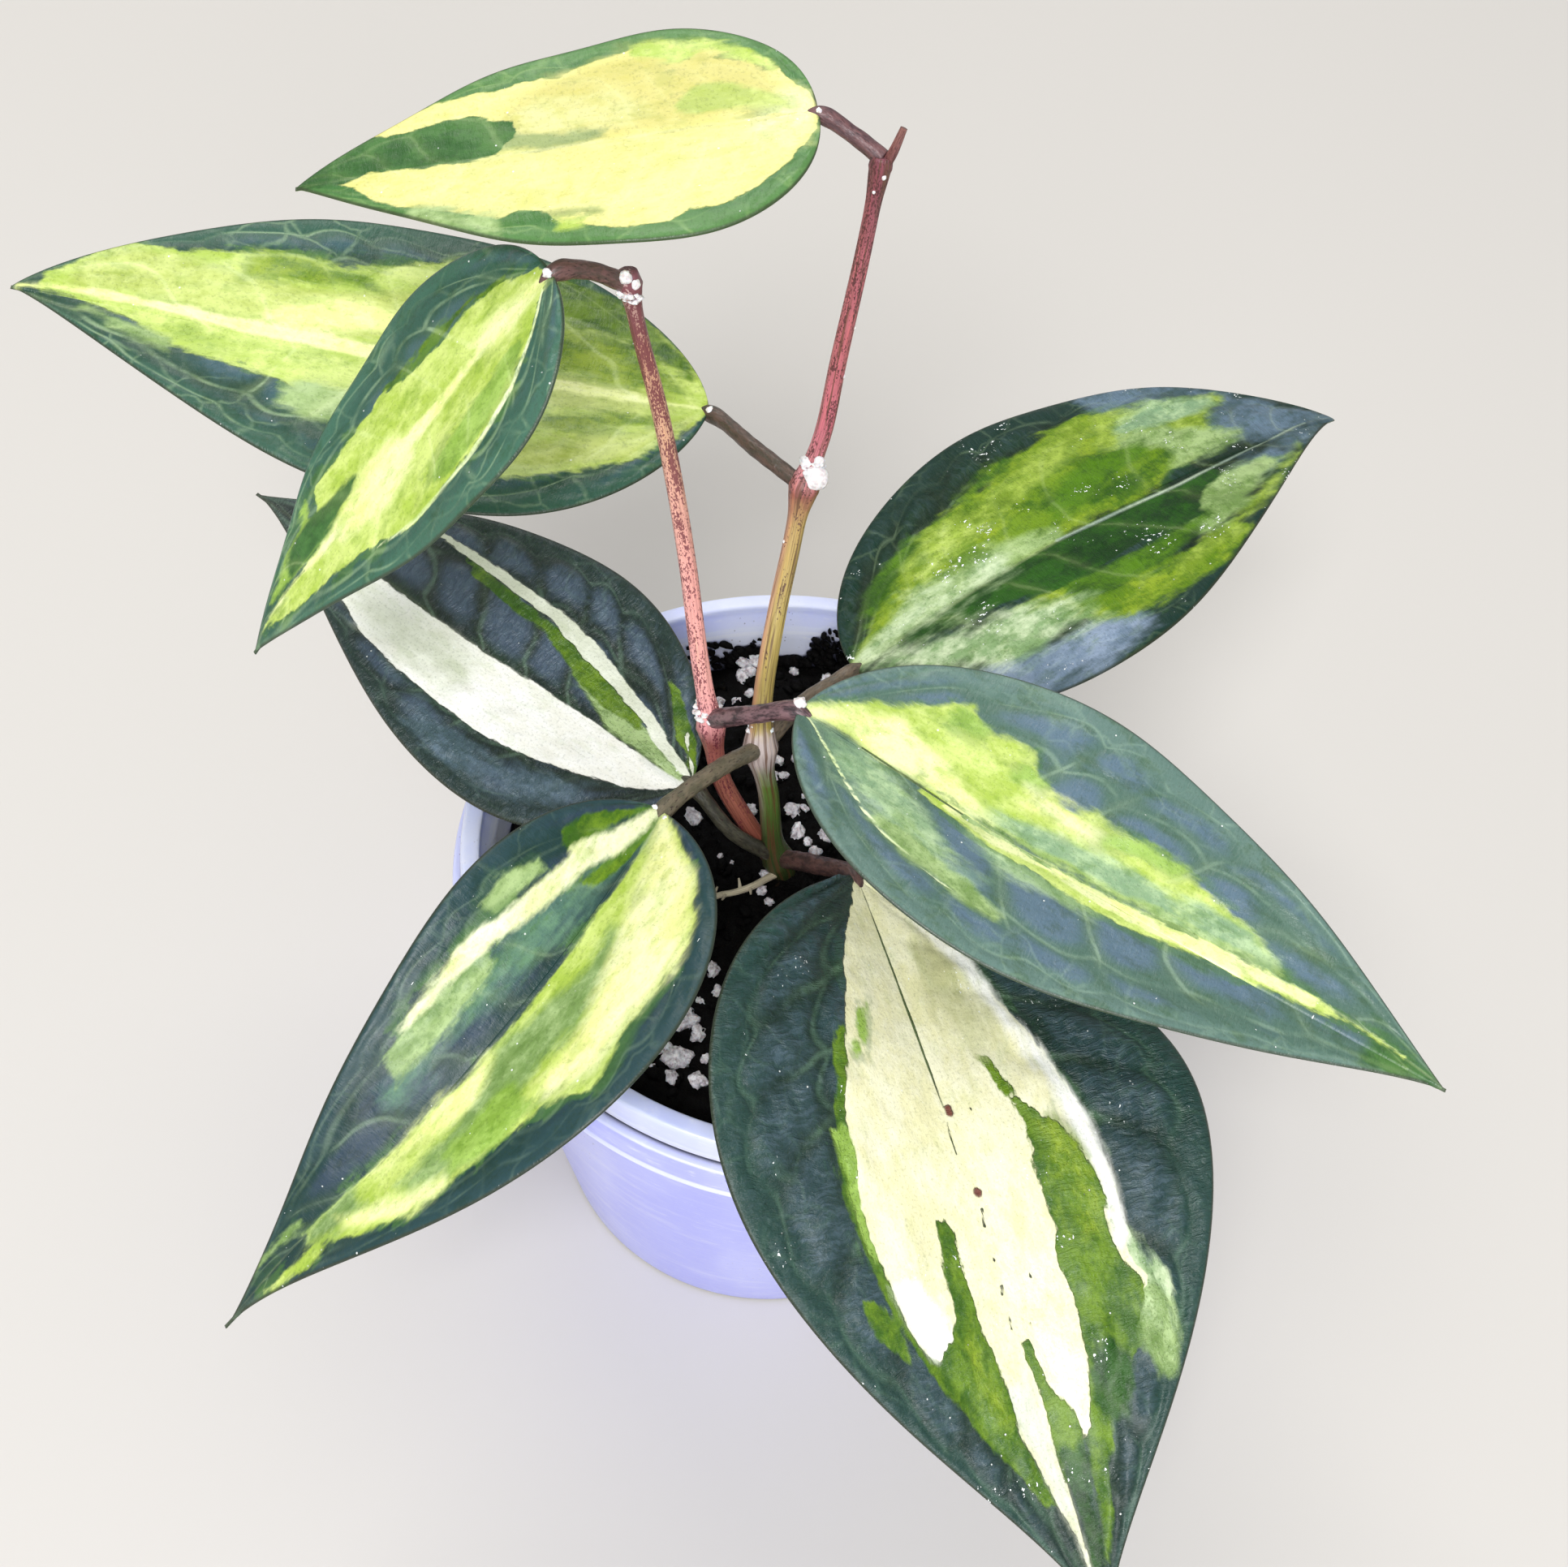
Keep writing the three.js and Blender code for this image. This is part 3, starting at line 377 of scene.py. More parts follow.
LEAF_BACK_RIGHT = {
    "name": "leaf_back_right", "base": (2, 22, 110), "length": 123, "heading": 47.5, "rise": 9,
    "droop": 25, "sweep": 0, "roll": -6, "twist": 2, "fold": 6, "arch": 0.06,
    "left": (29, 0.6, 0.75), "right": (28, 0.5, 1.35),
    "stalk": [(-10.5, 5, 107), (-5.5, 13, 109.5)], "stalk_radii": (1.45, 1.2),
    "stalk_tones": ("#4e4638", "#6a5a48"), "slot": "lime_leaf",
    "ground": ("#0c2412", "#123220", "#15322a"), "vein": "#6f9276", "vein_strength": 0.3,
    "collector": 0.6, "glow": 0.8, "puff": 0.4, "wrinkle": 0.6, "veins": 9, "sheen": 0.14,
    "splash_and_glint": 0.9, "midrib": [(0, -3), (40, 0), (50, -5), (60, -8), (70, -8), (78, -5), (85, 0),
    (95, 10), (100, 10)],
    "layers": [
        # Painted reflection of the sky along the right margin near the base.
        ("sky_reflection", 2.4, [(8, -110, -56), (20, -97, -60), (30, -92, -68), (35, -90, -74)]),
        # Painted sheen of the sky, blue-grey, at the tip and along the margins.
        ("slate_sheen", 2.2, [(62, 60, 110), (72, 30, 110), (80, 0, 110), (90, 0, 80), (100, 0, 50)],
         [(70, -50, -30), (76, -68, -12), (84, -70, -5), (95, -50, 0)]),
        ("olive", 0.9,
         [(-5, 0, 20), (3, 0, 32), (7, 0, 45), (13, 0, 53), (20, 0, 60), (28, 0, 61), (36, 0, 63),
          (42, 0, 65), (50, 0, 73), (57, 0, 80), (61, 8, 74), (65, 25, 60)],
         [(22, -42, -30), (27, -60, -30), (32, -74, -34), (37, -82, -44), (42, -88, -54),
          (47, -93, -60), (52, -96, -66), (57, -97, -76), (61, -95, -86)]),
        ("wet_lime", 1.5,
         [(16, 44, 56), (24, 40, 58), (32, 36, 50), (40, 40, 56), (50, 50, 68), (57, 60, 76)],
         [(56, 30, 50), (60, 12, 72), (66, 10, 74), (72, 20, 72), (78, 50, 80), (84, 70, 88)],
         [(46, -82, -66), (52, -84, -66), (58, -88, -74), (66, -88, -76), (75, -92, -74),
          (86, -97, -84)]),
        ("sage", 1.6, [(2, -4, 20), (10, -2, 26), (20, -2, 24), (30, 0, 22), (38, 0, 14)],
         [(57, 25, 40), (62, 10, 50), (68, 10, 50), (75, 12, 30), (80, 16, 22)],
         [(54, -64, -48), (58, -74, -30), (64, -74, -24), (72, -70, -26), (78, -55, -35)]),
        ("moss", 1.3,
         [(29, 18, 24), (34, 14, 34), (44, 5, 42), (52, 4, 40), (60, 8, 34), (65, 18, 30)],
         [(30, 50, 64), (36, 58, 68), (42, 64, 70)]),
        ("glade", 1.4, [(40, 16, 24), (46, 14, 38), (52, 18, 40), (58, 24, 40), (62, 28, 34)],
         [(5, 36, 54), (12, 48, 62), (20, 56, 62)],
         [(30, -48, -30), (38, -58, -36), (46, -68, -42), (54, -62, -48), (58, -60, -54)]),
        ("celadon", 1.4, [(60, 52, 60), (66, 50, 70), (72, 52, 76), (78, 56, 80), (82, 66, 80)]),
        ("lime", 1.6, [(17, 30, 36), (21, 30, 46), (26, 32, 46), (31, 34, 40)]),
        ("bottle", 0.6,
         [(8, -12, -1), (14, -20, 0), (22, -22, 0), (28, -32, 0), (36, -38, -2), (44, -40, -3),
          (52, -46, -5), (57, -50, -8), (62, -28, -8), (68, -20, -9)]),
        # Painted sheen near the base, on both sides of the midrib.
        ("mist_and_sheen", 2.6, [(3, 0, 8), (9, 2, 20), (16, 2, 20), (27, 2, 10)]),
        ("mist_and_sheen", 3,
         [(2, -20, -4), (8, -50, -16), (14, -66, -20), (20, -68, -26), (25, -64, -36),
          (30, -62, -52)]),
        ("rib_grey", 0.3,
         [(36, -1, 1), (45, -4.5, -2), (60, -10, -7), (72, -9, -6), (80, -5, -3), (93, 8, 10)]),
    ],
}

LEAF_RIGHT = {
    "name": "leaf_right", "base": (-5.5, -0.5, 124), "length": 108.5, "heading": -22.5, "rise": -10,
    "droop": -4, "sweep": 5, "roll": 4, "twist": 6, "fold": 12, "arch": 0.02,
    "left": (26, 0.6, 1.05), "right": (22, 0.65, 1.35), "stalk": [(-19, 6.5, 110), (-12, 1.5, 119)],
    "stalk_radii": (1.6, 1.3), "stalk_tones": ("#2e1e24", "#7a5c60"), "slot": "lime_leaf",
    "ground": ("#486658", "#546c7b", "#5a766c"), "vein": "#8bb0a0", "vein_strength": 0.32,
    "collector": 0.55, "glow": 1, "puff": 0.3, "wrinkle": 0.4, "veins": 7, "sheen": 0.5,
    "splash_and_glint": 0.4, "midrib": [(0, 5), (10, 5), (20, 3), (30, 1), (40, 2), (50, 4), (60, 10),
    (70, 16), (80, 21), (85, 27), (90, 30), (100, 30)],
    "layers": [
        ("celadon", 2.4,
         [(-5, -10, 6), (5, -26, 4), (10, -42, 2), (16, -50, -6), (22, -54, -20), (28, -56, -36),
          (33, -60, -46)]),
        ("fern", 1.6, [(88, -80, 50), (94, -110, 60), (110, -110, 110)]),
        ("lime", 0.9,
         [(-10, 4, 24), (3, 5, 34), (5, 5, 44), (10, 5, 52), (15, 4, 60), (18, 3, 70), (20, 3, 72),
          (22, 3, 60), (28, 2, 58), (31, 1, 57), (33, 1, 42), (38, 2, 39), (42, 3, 44), (50, 5, 43),
          (60, 10, 44), (66, 13, 42), (70, 17, 38), (74, 19, 24)]),
        ("grass", 1.2, [(18, 50, 70), (24, 50, 60)],
         [(30, 36, 50), (34, 36, 44)], [(44, 26, 36), (50, 38, 46), (56, 38, 46)]),
        ("celadon", 1.6,
         [(26, 2, 8), (32, 2, 14), (38, 4, 20), (44, 5, 24), (50, 7, 28), (56, 9, 28), (62, 12, 34),
          (68, 16, 38), (73, 19, 32)]),
        ("sage", 0.9,
         [(17, -56, -48), (22, -60, -42), (28, -61, -45), (32, -64, -48), (38, -66, -60)]),
        ("lemon", 1.5, [(-10, 4, 20), (6, 5, 32), (12, 5, 42), (18, 4, 28), (31, 2, 6)]),
        ("cream", 2.2, [(33, 24, 34), (38, 26, 38), (44, 28, 36)]),
        ("celadon", 1.2, [(28, -18, -6), (36, -22, -8), (44, -23, -10), (50, -20, -12)]),
        ("lime", 0.4,
         [(20, -4, 3), (28, -10, 1), (35, -10, 1), (44, -13, 2), (52, -14, 5), (60, -10, 10),
          (66, -6, 13), (72, 0, 17), (80, 8, 22), (85, 17, 27), (89, 23, 30), (93, 28, 31)]),
        ("lemon", 0.3,
         [(24, -4, 2), (32, -8, 0), (40, -3, 2), (50, -6, 4), (58, -6, 8), (66, -4, 13),
          (72, 4, 17), (80, 10, 21)]),
        ("vein_pale", 0.15,
         [(-10, -4, 0), (2, -15, -8), (5, -29, -24), (10, -44, -40), (15, -55, -51.5),
          (20, -60, -57), (28, -62, -60), (34, -65, -64)]),
        ("seam", 0.12, [(10, 0.4, 2), (20, -0.6, 1), (28, -1.4, 0)]),
        ("sage", 0.15, [(27, -1.4, 0.2), (40, 0, 2), (55, 5.5, 7.5), (62, 11, 12)]),
    ],
}

LEAF_FRONT = {
    "name": "leaf_front", "base": (7.5, -9, 97), "length": 117, "heading": -66, "rise": 4,
    "droop": 36, "sweep": 7, "roll": -21, "twist": 40, "fold": 11, "arch": 0.02,
    "left": (38, 1.0, 1.5), "right": (37.5, 0.8, 1.5), "stalk": [(-4.5, 2.2, 83), (1, -3, 90)],
    "stalk_radii": (1.6, 1.5), "stalk_tones": ("#3a2a28", "#5a3f3a"), "slot": "cream_leaf",
    "ground": ("#112b23", "#263f41", "#20413a"), "vein": "#5f8872", "vein_strength": 0.42,
    "collector": 0.46, "glow": 0.2, "puff": 0.9, "wrinkle": 0.9, "veins": 10, "sheen": 0.45,
    "splash_and_glint": 0.8, "midrib": [(0, 0), (100, 0)],
    "layers": [
        ("moss", 0.35,
         [(24, -40, -30), (30, -45, -36), (36, -49, -42), (42, -54, -46), (48, -57, -48),
          (55, -60, -50), (62, -62, -50), (70, -60, -30), (78, -55, -25), (84, -45, -22)],
         [(40, 30, 40), (45, 30, 47), (50, 30, 54), (55, 30, 56), (60, 30, 62), (64, 30, 74),
          (67, 32, 72), (70, 34, 66), (73, 30, 56), (76, 28, 50), (82, 30, 50), (88, 42, 56),
          (92, 50, 58)],
         [(56, -72, -64), (60, -74, -62), (64, -70, -66)]),
        ("sage", 0.9, [(60, 56, 66), (64, 62, 78), (67, 64, 84), (70, 68, 92), (73.5, 84, 95)]),
        ("mist_and_sheen", 1, [(56, 53, 60), (60, 58, 68), (63, 66, 80), (65, 78, 84)]),
        ("grass", 0.5, [(36, -52, -42), (42, -52, -44), (48, -55, -47), (52, -56, -50)]),
        ("ivory", 0.2,
         [(-10, -20, 46), (5, -23, 46), (10, -29, 47), (15, -32, 50), (20, -33, 46), (26, -36, 47),
          (32, -42, 49), (38, -45, 51), (45, -50, 53), (52, -53, 57), (56, -55, 56), (60, -58, 60),
          (63, -57, 70), (65, -48, 60), (67, -24, 34), (74, -28, 33), (77.5, -28, 31), (79, -26, 0),
          (84, -22, 0), (90, -14, 0), (97, -10, 0)]),
        ("white", 1,
         [(8, 42, 46), (16, 40, 50), (24, 38, 46), (32, 42, 49), (40, 46, 52), (50, 50, 57),
          (58, 53, 59)],
         [(55, -54, -42), (60, -57, -36), (64, -54, -38)]),
        ("chalk", 1, [(70, -27, 0), (78, -25, -5), (86, -19, -2), (95, -10, -1)]),
        ("moss", 0.22,
         [(30, 22, 27), (34, 25, 28), (37, 27, 30), (39, 28, 36), (42, 28, 42), (46, 27, 47),
          (50, 27, 52), (54, 30, 52), (57, 26, 52), (60, 29, 56), (63, 31, 66), (66, 32, 66),
          (69, 33, 60)],
         [(49, -21, -16), (51, -23, -14), (55, -27, -17), (60, -31, -19), (62.5, -40, -20),
          (65, -52, -20), (70, -58, -22), (75, -56, -30), (79, -50, -26)],
         [(65.5, -2, 3), (70, 0, 7), (73, 0, 14), (77, 0, 24), (82, 0, 24)]),
        ("sand", 1.8, [(12, 20, 34), (18, 14, 38), (24, 16, 38), (30, 20, 32)]),
        ("olive", 1.6, [(40, 32, 38), (45, 32, 46), (50, 34, 50), (56, 36, 50)],
         [(61, -30, -25), (67, -38, -30), (73, -38, -33)]),
        ("grass", 0.6, [(21.5, -28, -24), (25, -31, -26), (27.5, -35, -31)]),
        ("bottle", 0.8, [(68, 42, 50), (71, 36, 64), (74, 36, 66), (77, 48, 62)],
         [(78, 2, 26), (84, 4, 30), (92, 8, 40)]),
        ("seam", 0.1, [(1.5, -0.8, 0.8), (20, -0.7, 0.5), (30, -0.4, 0.6), (36, 0, 0.6)],
         [(37, -0.2, 0.3), (39, -1.4, -0.7), (42, -1.4, -0.9)]),
        ("fleck", 0.1, *[[(s, t, t + 1.2), (s + 1.3, t - 1, t + 0.2)] for s, t in FLECKS]),
        ("scab", 0.25, [(35.3, 1, 3), (36.1, -0.4, 4.4), (36.9, 1, 3)],
         [(46.2, 1.5, 3), (46.9, 0.3, 4.2), (47.6, 1.5, 3)]),
    ],
}

LEAVES = [LEAF_TOP, LEAF_BACK_LEFT, LEAF_MIDDLE, LEAF_LEFT, LEAF_FRONT_LEFT, LEAF_BACK_RIGHT,
          LEAF_RIGHT, LEAF_FRONT]

# For each name two tones that the shader mingles, how ragged the edges are, and how much green
# runs along them.
PALETTE = {
    "butter": ("#dad47c", "#e2de8e", 0.7, 0.3),
    "wheat": ("#c2bb66", "#cbc475", 0.7, 0),
    "cream": ("#e4e596", "#eff0b6", 0.7, 0.5),
    "pale": ("#dfe4a4", "#eff1c8", 0.75, 0.6),
    "ivory": ("#e2deb0", "#ece9c8", 0.6, 0.15),
    "sand": ("#bfbe8e", "#cfcea4", 0.9, 0),
    "chalk": ("#d0d4bf", "#e2e5d4", 0.6, 0),
    "white": ("#f5f3e8", "#fdfcf7", 0.55, 0.1),
    "lemon": ("#dce58c", "#e9edae", 0.7, 0),
    "straw": ("#c0bd6c", "#d3d08c", 0.9, 0),
    "citron": ("#a2b250", "#c4d178", 0.8, 0.4),
    "lime": ("#a1ba46", "#c8d878", 0.95, 0.6),
    "wet_lime": ("#6f8a1e", "#9fb64a", 1.0, 0.5),
    "grass": ("#7a9c36", "#9cbc58", 0.9, 0.4),
    "olive": ("#55780a", "#8ca326", 1.0, 0.4),
    "moss": ("#345c08", "#6a8a16", 0.9, 0),
    "fern": ("#2b5524", "#426e33", 0.9, 0),
    "sage": ("#6f8c4a", "#a2ba7c", 0.9, 0.2),
    "greyed": ("#7d8d55", "#93a166", 0.8, 0),
    "glade": ("#2c5206", "#4f780c", 1.0, 0),
    "bottle": ("#0c3406", "#24540a", 1.0, 0),
    # Blue-grey tones that paint the sky's sheen on dark green.
    "slate_sheen": ("#42585f", "#627788", 1.1, 0),
    # Pale blue-grey: a painted reflection of the sky.
    "sky_reflection": ("#66798c", "#8797ac", 1.1, 0),
    "teal": ("#48695e", "#62876a", 1.0, 0),
    "celadon": ("#7c9c74", "#b2cb9a", 0.9, 0),
    # Pale green: a pale patch of the front leaf, and painted sheen on the back right leaf.
    "mist_and_sheen": ("#7f9e69", "#c9d8b0", 1.0, 0),
    "rib_grey": ("#84988a", "#a6b6a4", 0.1, 0),
    "vein_pale": ("#d3e2a8", "#e8f0c2", 0.1, 0),
    "seam": ("#3f5226", "#54683a", 0.1, 0),
    "fleck": ("#1d2414", "#39412a", 0.05, 0),
    "scab": ("#5a2c22", "#7a4438", 0.2, 0),
}
FRINGE_TONE = "#47702e"
WRINKLE_SHEEN_TONE = "#5c6f7e"
MARGIN_TONE = "#303422"
UNDERSIDE_TONE = "#8fa67a"

# Drops on the stems: stem, height, angle round it, radius.
STEM_DROPS = [
    ("main", 143.2, -35, 1.95), ("main", 145.2, -140, 0.9), ("main", 146.3, -60, 0.8),
    ("main", 109.5, -75, 0.55), ("side", 180.0, -90, 0.9), ("side", 178.6, -40, 0.7),
    ("main", 159.0, 5, 0.3), ("main", 166.5, 10, 0.28), ("main", 134.0, -150, 0.28),
    ("main", 191.0, -60, 0.35), ("main", 188.5, -100, 0.25),
]
# Rings of cracked sap round a node: stem, height, first and last angle.
STEM_CRUSTS = [
    ("side", 111.6, -200, 20), ("main", 110.6, -160, -10), ("main", 145.0, -200, 0),
    ("side", 176.6, -150, -30),
]
CRUST_STEP = 9  # degrees from one crumb of a ring to the next
# Drops on the leaf joints: leaf, how far along and across it in mm, radius.
JOINT_DROPS = [
    (LEAF_MIDDLE, 0.2, 0.5, 0.75), (LEAF_BACK_LEFT, -0.2, 0.4, 0.7), (LEAF_RIGHT, -0.4, 0.8, 0.95),
    (LEAF_FRONT_LEFT, 0.2, -1.0, 0.5), (LEAF_FRONT_LEFT, 1.2, 1.2, 0.4), (LEAF_TOP, 0, 0.4, 0.4),
]

# ------------------------------------------------------------------ materials


def tone(code):
    """A colour written as #rrggbb, in the linear form that the shaders use."""
    parts = [int(code[i:i + 2], 16) / 255 for i in (1, 3, 5)]
    return [c / 12.92 if c <= 0.04045 else ((c + 0.055) / 1.055) ** 2.4 for c in parts] + [1.0]


class Shader:
    """Builds the node tree of one material from short calls."""

    def __init__(self, name, **settings):
        self.material = bpy.data.materials.new(name)
        self.material.use_nodes = True
        self.tree = self.material.node_tree
        self.surface = self.tree.nodes["Principled BSDF"]
        for socket, value in settings.items():
            self.surface.inputs[socket.replace("_", " ")].default_value = value

    def node(self, kind, inputs=(), **settings):
        made = self.tree.nodes.new("ShaderNode" + kind)
        for key, value in settings.items():
            setattr(made, key, value)
        for key, value in dict(inputs).items():
            self.put(made.inputs[key], value)
        return made

    def put(self, socket, value):
        if isinstance(value, bpy.types.NodeSocket):
            self.tree.links.new(value, socket)
        else:
            socket.default_value = value

    def math(self, operation, *values):
        return self.node("Math", dict(enumerate(values)), operation=operation).outputs[0]

    def times(self, first, second):
        return self.math("MULTIPLY", first, second)

    def add(self, value, factor, rest):
        """value * factor + rest"""
        return self.math("MULTIPLY_ADD", value, factor, rest)

    def attribute(self, name, output="Fac"):
        return self.node("Attribute", attribute_name=name).outputs[output]

    def split(self, vector):
        return self.node("SeparateXYZ", {0: vector}).outputs

    def place(self):
        return self.node("TexCoord").outputs["Object"]

    def stretch(self, vector, scale):
        inputs = {0: vector, 1: scale}
        return self.node("VectorMath", inputs, operation="MULTIPLY").outputs[0]

    def noise(self, vector, scale, detail=2.0, roughness=0.55):
        """`scale` is one number, or one for each axis."""
        if isinstance(scale, tuple):
            vector, scale = self.stretch(vector, scale), 1.0
        inputs = {"Vector": vector, "Scale": scale, "Detail": detail, "Roughness": roughness}
        return self.node("TexNoise", inputs).outputs["Fac"]

    def warp(self, vector, scale, amount):
        """The vector pushed about in its plane by noise."""
        inputs = {"Vector": self.stretch(vector, scale), "Scale": 1.0, "Detail": 2.0}
        drift = self.node("TexNoise", inputs).outputs["Color"]
        inputs = {0: drift, 1: (0.5, 0.5, 0.5)}
        centred = self.node("VectorMath", inputs, operation="SUBTRACT").outputs[0]
        inputs = {0: centred, 1: (amount, amount, 0), 2: vector}
        return self.node("VectorMath", inputs, operation="MULTIPLY_ADD").outputs[0]

    def cells(self, vector, scale, feature="DISTANCE_TO_EDGE"):
        """`scale` is one number, or one for each axis."""
        if isinstance(scale, tuple):
            vector, scale = self.stretch(vector, scale), 1.0
        inputs = {"Vector": vector, "Scale": scale}
        return self.node("TexVoronoi", inputs, feature=feature).outputs["Distance"]

    def step(self, value, low, high, to_low=0.0, to_high=1.0):
        """A soft step of the value, from `to_low` at `low` to `to_high` at `high`."""
        inputs = {"Value": value, "From Min": low, "From Max": high, "To Min": to_low,
                  "To Max": to_high}
        return self.node("MapRange", inputs, interpolation_type="SMOOTHSTEP").outputs[0]

    def mix(self, share, first, second, blend="MIX"):
        """Two colours by a share; sockets 6 and 7 are the node's colours."""
        made = self.node("Mix", data_type="RGBA", blend_type=blend)
        self.put(made.inputs[0], share)
        self.put(made.inputs[6], first)
        self.put(made.inputs[7], second)
        return made.outputs[2]

    def tint(self, colour, share, code, blend="MIX"):
        return self.mix(share, colour, tone(code), blend)

    def colours(self, value, stops):
        """A colour ramp: `stops` are (position from 0 to 1, tone)."""
        ramp = self.node("ValToRGB", {0: value})
        elements = ramp.color_ramp.elements
        for index, (position, code) in enumerate(stops):
            element = elements[index] if index < 2 else elements.new(position)
            element.position = position
            element.color = tone(code)
        return ramp.outputs[0]

    def bump(self, height, distance):
        """`distance` in millimetres."""
        inputs = {"Height": height, "Distance": distance * MM, "Strength": 1.0}
        self.put(self.surface.inputs["Normal"], self.node("Bump", inputs).outputs[0])

    def finish(self, colour, roughness):
        self.put(self.surface.inputs["Base Color"], colour)
        self.put(self.surface.inputs["Roughness"], roughness)
        return self.material


def plastic_material(name, low, high, milkiness, lines):
    """`lines` run round the pot as painted highlights and painted shade: height and half width in
    mm, tone, strength.
    """
    shader = Shader(name, Specular_IOR_Level=0.5, Coat_Weight=0.4, Coat_Roughness=0.16,
                    Subsurface_Weight=milkiness, Subsurface_Scale=0.004,
                    Subsurface_Radius=(0.8, 0.85, 1.0))
    place = shader.place()
    drift = shader.noise(shader.stretch(place, (1, 1, 0.35)), 38, 3)
    scuffs = shader.noise(shader.stretch(place, (1, 1, 4)), 260, 4, 0.7)
    colour = shader.mix(shader.step(drift, 0.35, 0.65), tone(low), tone(high))
    colour = shader.tint(colour, shader.step(scuffs, 0.54, 0.74, 0, 0.4), "#e9eafd")
    # Pale sweeps: painted soft highlights on the plastic.
    highlight_sweeps = shader.noise(shader.stretch(place, (1, 1, 5)), 60, 3, 0.6)
    colour = shader.tint(colour, shader.step(highlight_sweeps, 0.52, 0.7, 0, 0.25), "#d9dcff")
    up = shader.split(place)[2]
    # Painted highlight and painted shade lines at set heights.
    for height, reach, code, strength in lines:
        away = shader.math("ABSOLUTE", shader.math("SUBTRACT", up, height * MM))
        line = shader.step(away, 0.4 * reach * MM, reach * MM, strength, 0)
        colour = shader.tint(colour, line, code)
    dust = shader.step(shader.cells(place, 900, "F1"), 0.1, 0.16, 0.5, 0)
    dust = shader.times(dust, shader.step(drift, 0.55, 0.62))
    colour = shader.tint(colour, dust, "#5a5470")
    # Painted shade in crevices, such as the slit under the liner's lip, where little open sky is
    # seen.
    open_sky = shader.node("AmbientOcclusion", {"Distance": 2 * MM}).outputs["AO"]
    colour = shader.tint(colour, shader.step(open_sky, 0.3, 0.66, 0.98, 0), "#0c0a18")
    shader.bump(shader.noise(place, 900, 3), 0.03)
    return shader.finish(colour, shader.step(scuffs, 0.3, 0.7, 0.3, 0.48))


def soil_material():
    shader = Shader("soil_mix", Specular_IOR_Level=0.1)
    place = shader.place()
    grain = shader.noise(place, 700, 5, 0.7)
    fibre = shader.noise(shader.stretch(place, (1, 0.3, 1)), 420, 3)
    colour = shader.colours(grain, [(0.3, "#010101"), (0.6, "#060404"), (0.74, "#17100c")])
    colour = shader.tint(colour, shader.step(fibre, 0.7, 0.77, 0, 0.5), "#3a2a1e")
    shader.bump(grain, 0.5)
    return shader.finish(colour, shader.step(grain, 0.35, 0.7, 0.6, 0.95))


def perlite_material():
    shader = Shader("perlite_crumb", Specular_IOR_Level=0.4, Subsurface_Weight=0.15,
                    Subsurface_Scale=0.001)
    grain = shader.noise(shader.place(), 1300, 4, 0.65)
    colour = shader.colours(grain, [(0.32, "#8d8288"), (0.5, "#d2ccd2"), (0.66, "#f2eff2")])
    shader.bump(grain, 0.35)
    return shader.finish(colour, shader.step(grain, 0.3, 0.7, 0.6, 0.95))


def latex_material():
    shader = Shader("dried_sap", Specular_IOR_Level=0.5, Subsurface_Weight=0.2,
                    Subsurface_Scale=0.001)
    grain = shader.noise(shader.place(), 1500, 3)
    colour = shader.colours(grain, [(0.3, "#cfc3c4"), (0.6, "#f3eeee")])
    shader.bump(grain, 0.1)
    return shader.finish(colour, shader.step(grain, 0.3, 0.7, 0.35, 0.6))


def stem_material(stops, name, speck_tone, speck_share, streak_share):
    """Bark-like skin: colours by height, lengthwise dark streaks with painted highlights, and dark
    specks.
    """
    shader = Shader(name, Specular_IOR_Level=0.5, Coat_Weight=0.1, Coat_Roughness=0.35)
    skin = shader.attribute("skin", "Vector")
    low, high = STEM_HEIGHTS
    drift = shader.noise(skin, (0.5, 0.5, 0.4), 2)
    height = shader.add(drift, 0.03, shader.attribute("height"))
    flanks = [shader.colours(height, [((stop[0] - low) / (high - low) + 0.015, stop[side])
                                      for stop in stops]) for side in (1, 2)]
    colour = shader.mix(shader.step(shader.attribute("flank"), 0.5, 0.95), *flanks)
    streaks = shader.noise(skin, (2.1, 2.1, 0.08), 3, 0.6)
    colour = shader.tint(colour, shader.step(streaks, 0.36, 0.53, streak_share, 0), "#5c3c26")
    # Painted highlights along the pale streaks.
    colour = shader.tint(colour, shader.step(streaks, 0.54, 0.68, 0, 0.6), "#e6d2bc",
                         "SOFT_LIGHT")
    clusters = shader.noise(skin, (0.5, 0.5, 0.16), 2)
    specks = shader.noise(skin, (2.9, 2.9, 2.2), 1)
    specks = shader.add(clusters, 0.9, specks)
    specks = shader.add(shader.attribute("height"), 0.36, specks)
    edge = 1.42 - 0.18 * speck_share
    colour = shader.tint(colour, shader.step(specks, edge, edge + 0.05, 0, 0.85), speck_tone)
    shader.bump(streaks, 0.3)
    return shader.finish(colour, shader.step(streaks, 0.3, 0.7, 0.36, 0.55))


def stalk_material(leaf):
    dark, light = leaf["stalk_tones"]
    shader = Shader(leaf["name"] + "_stalk", Specular_IOR_Level=0.5, Coat_Weight=0.1,
                    Coat_Roughness=0.3)
    place = shader.attribute("place", "Vector")
    blotches = shader.noise(place, (0.8, 0.8, 0.5), 3, 0.6)
    colour = shader.mix(shader.step(blotches, 0.35, 0.62), tone(dark), tone(light))
    specks = shader.noise(place, (2.4, 2.4, 1.2), 2)
    colour = shader.tint(colour, shader.step(specks, 0.62, 0.68, 0, 0.8), "#2c1416")
    shader.bump(blotches, 0.3)
    return shader.finish(colour, shader.step(specks, 0.3, 0.7, 0.34, 0.55))


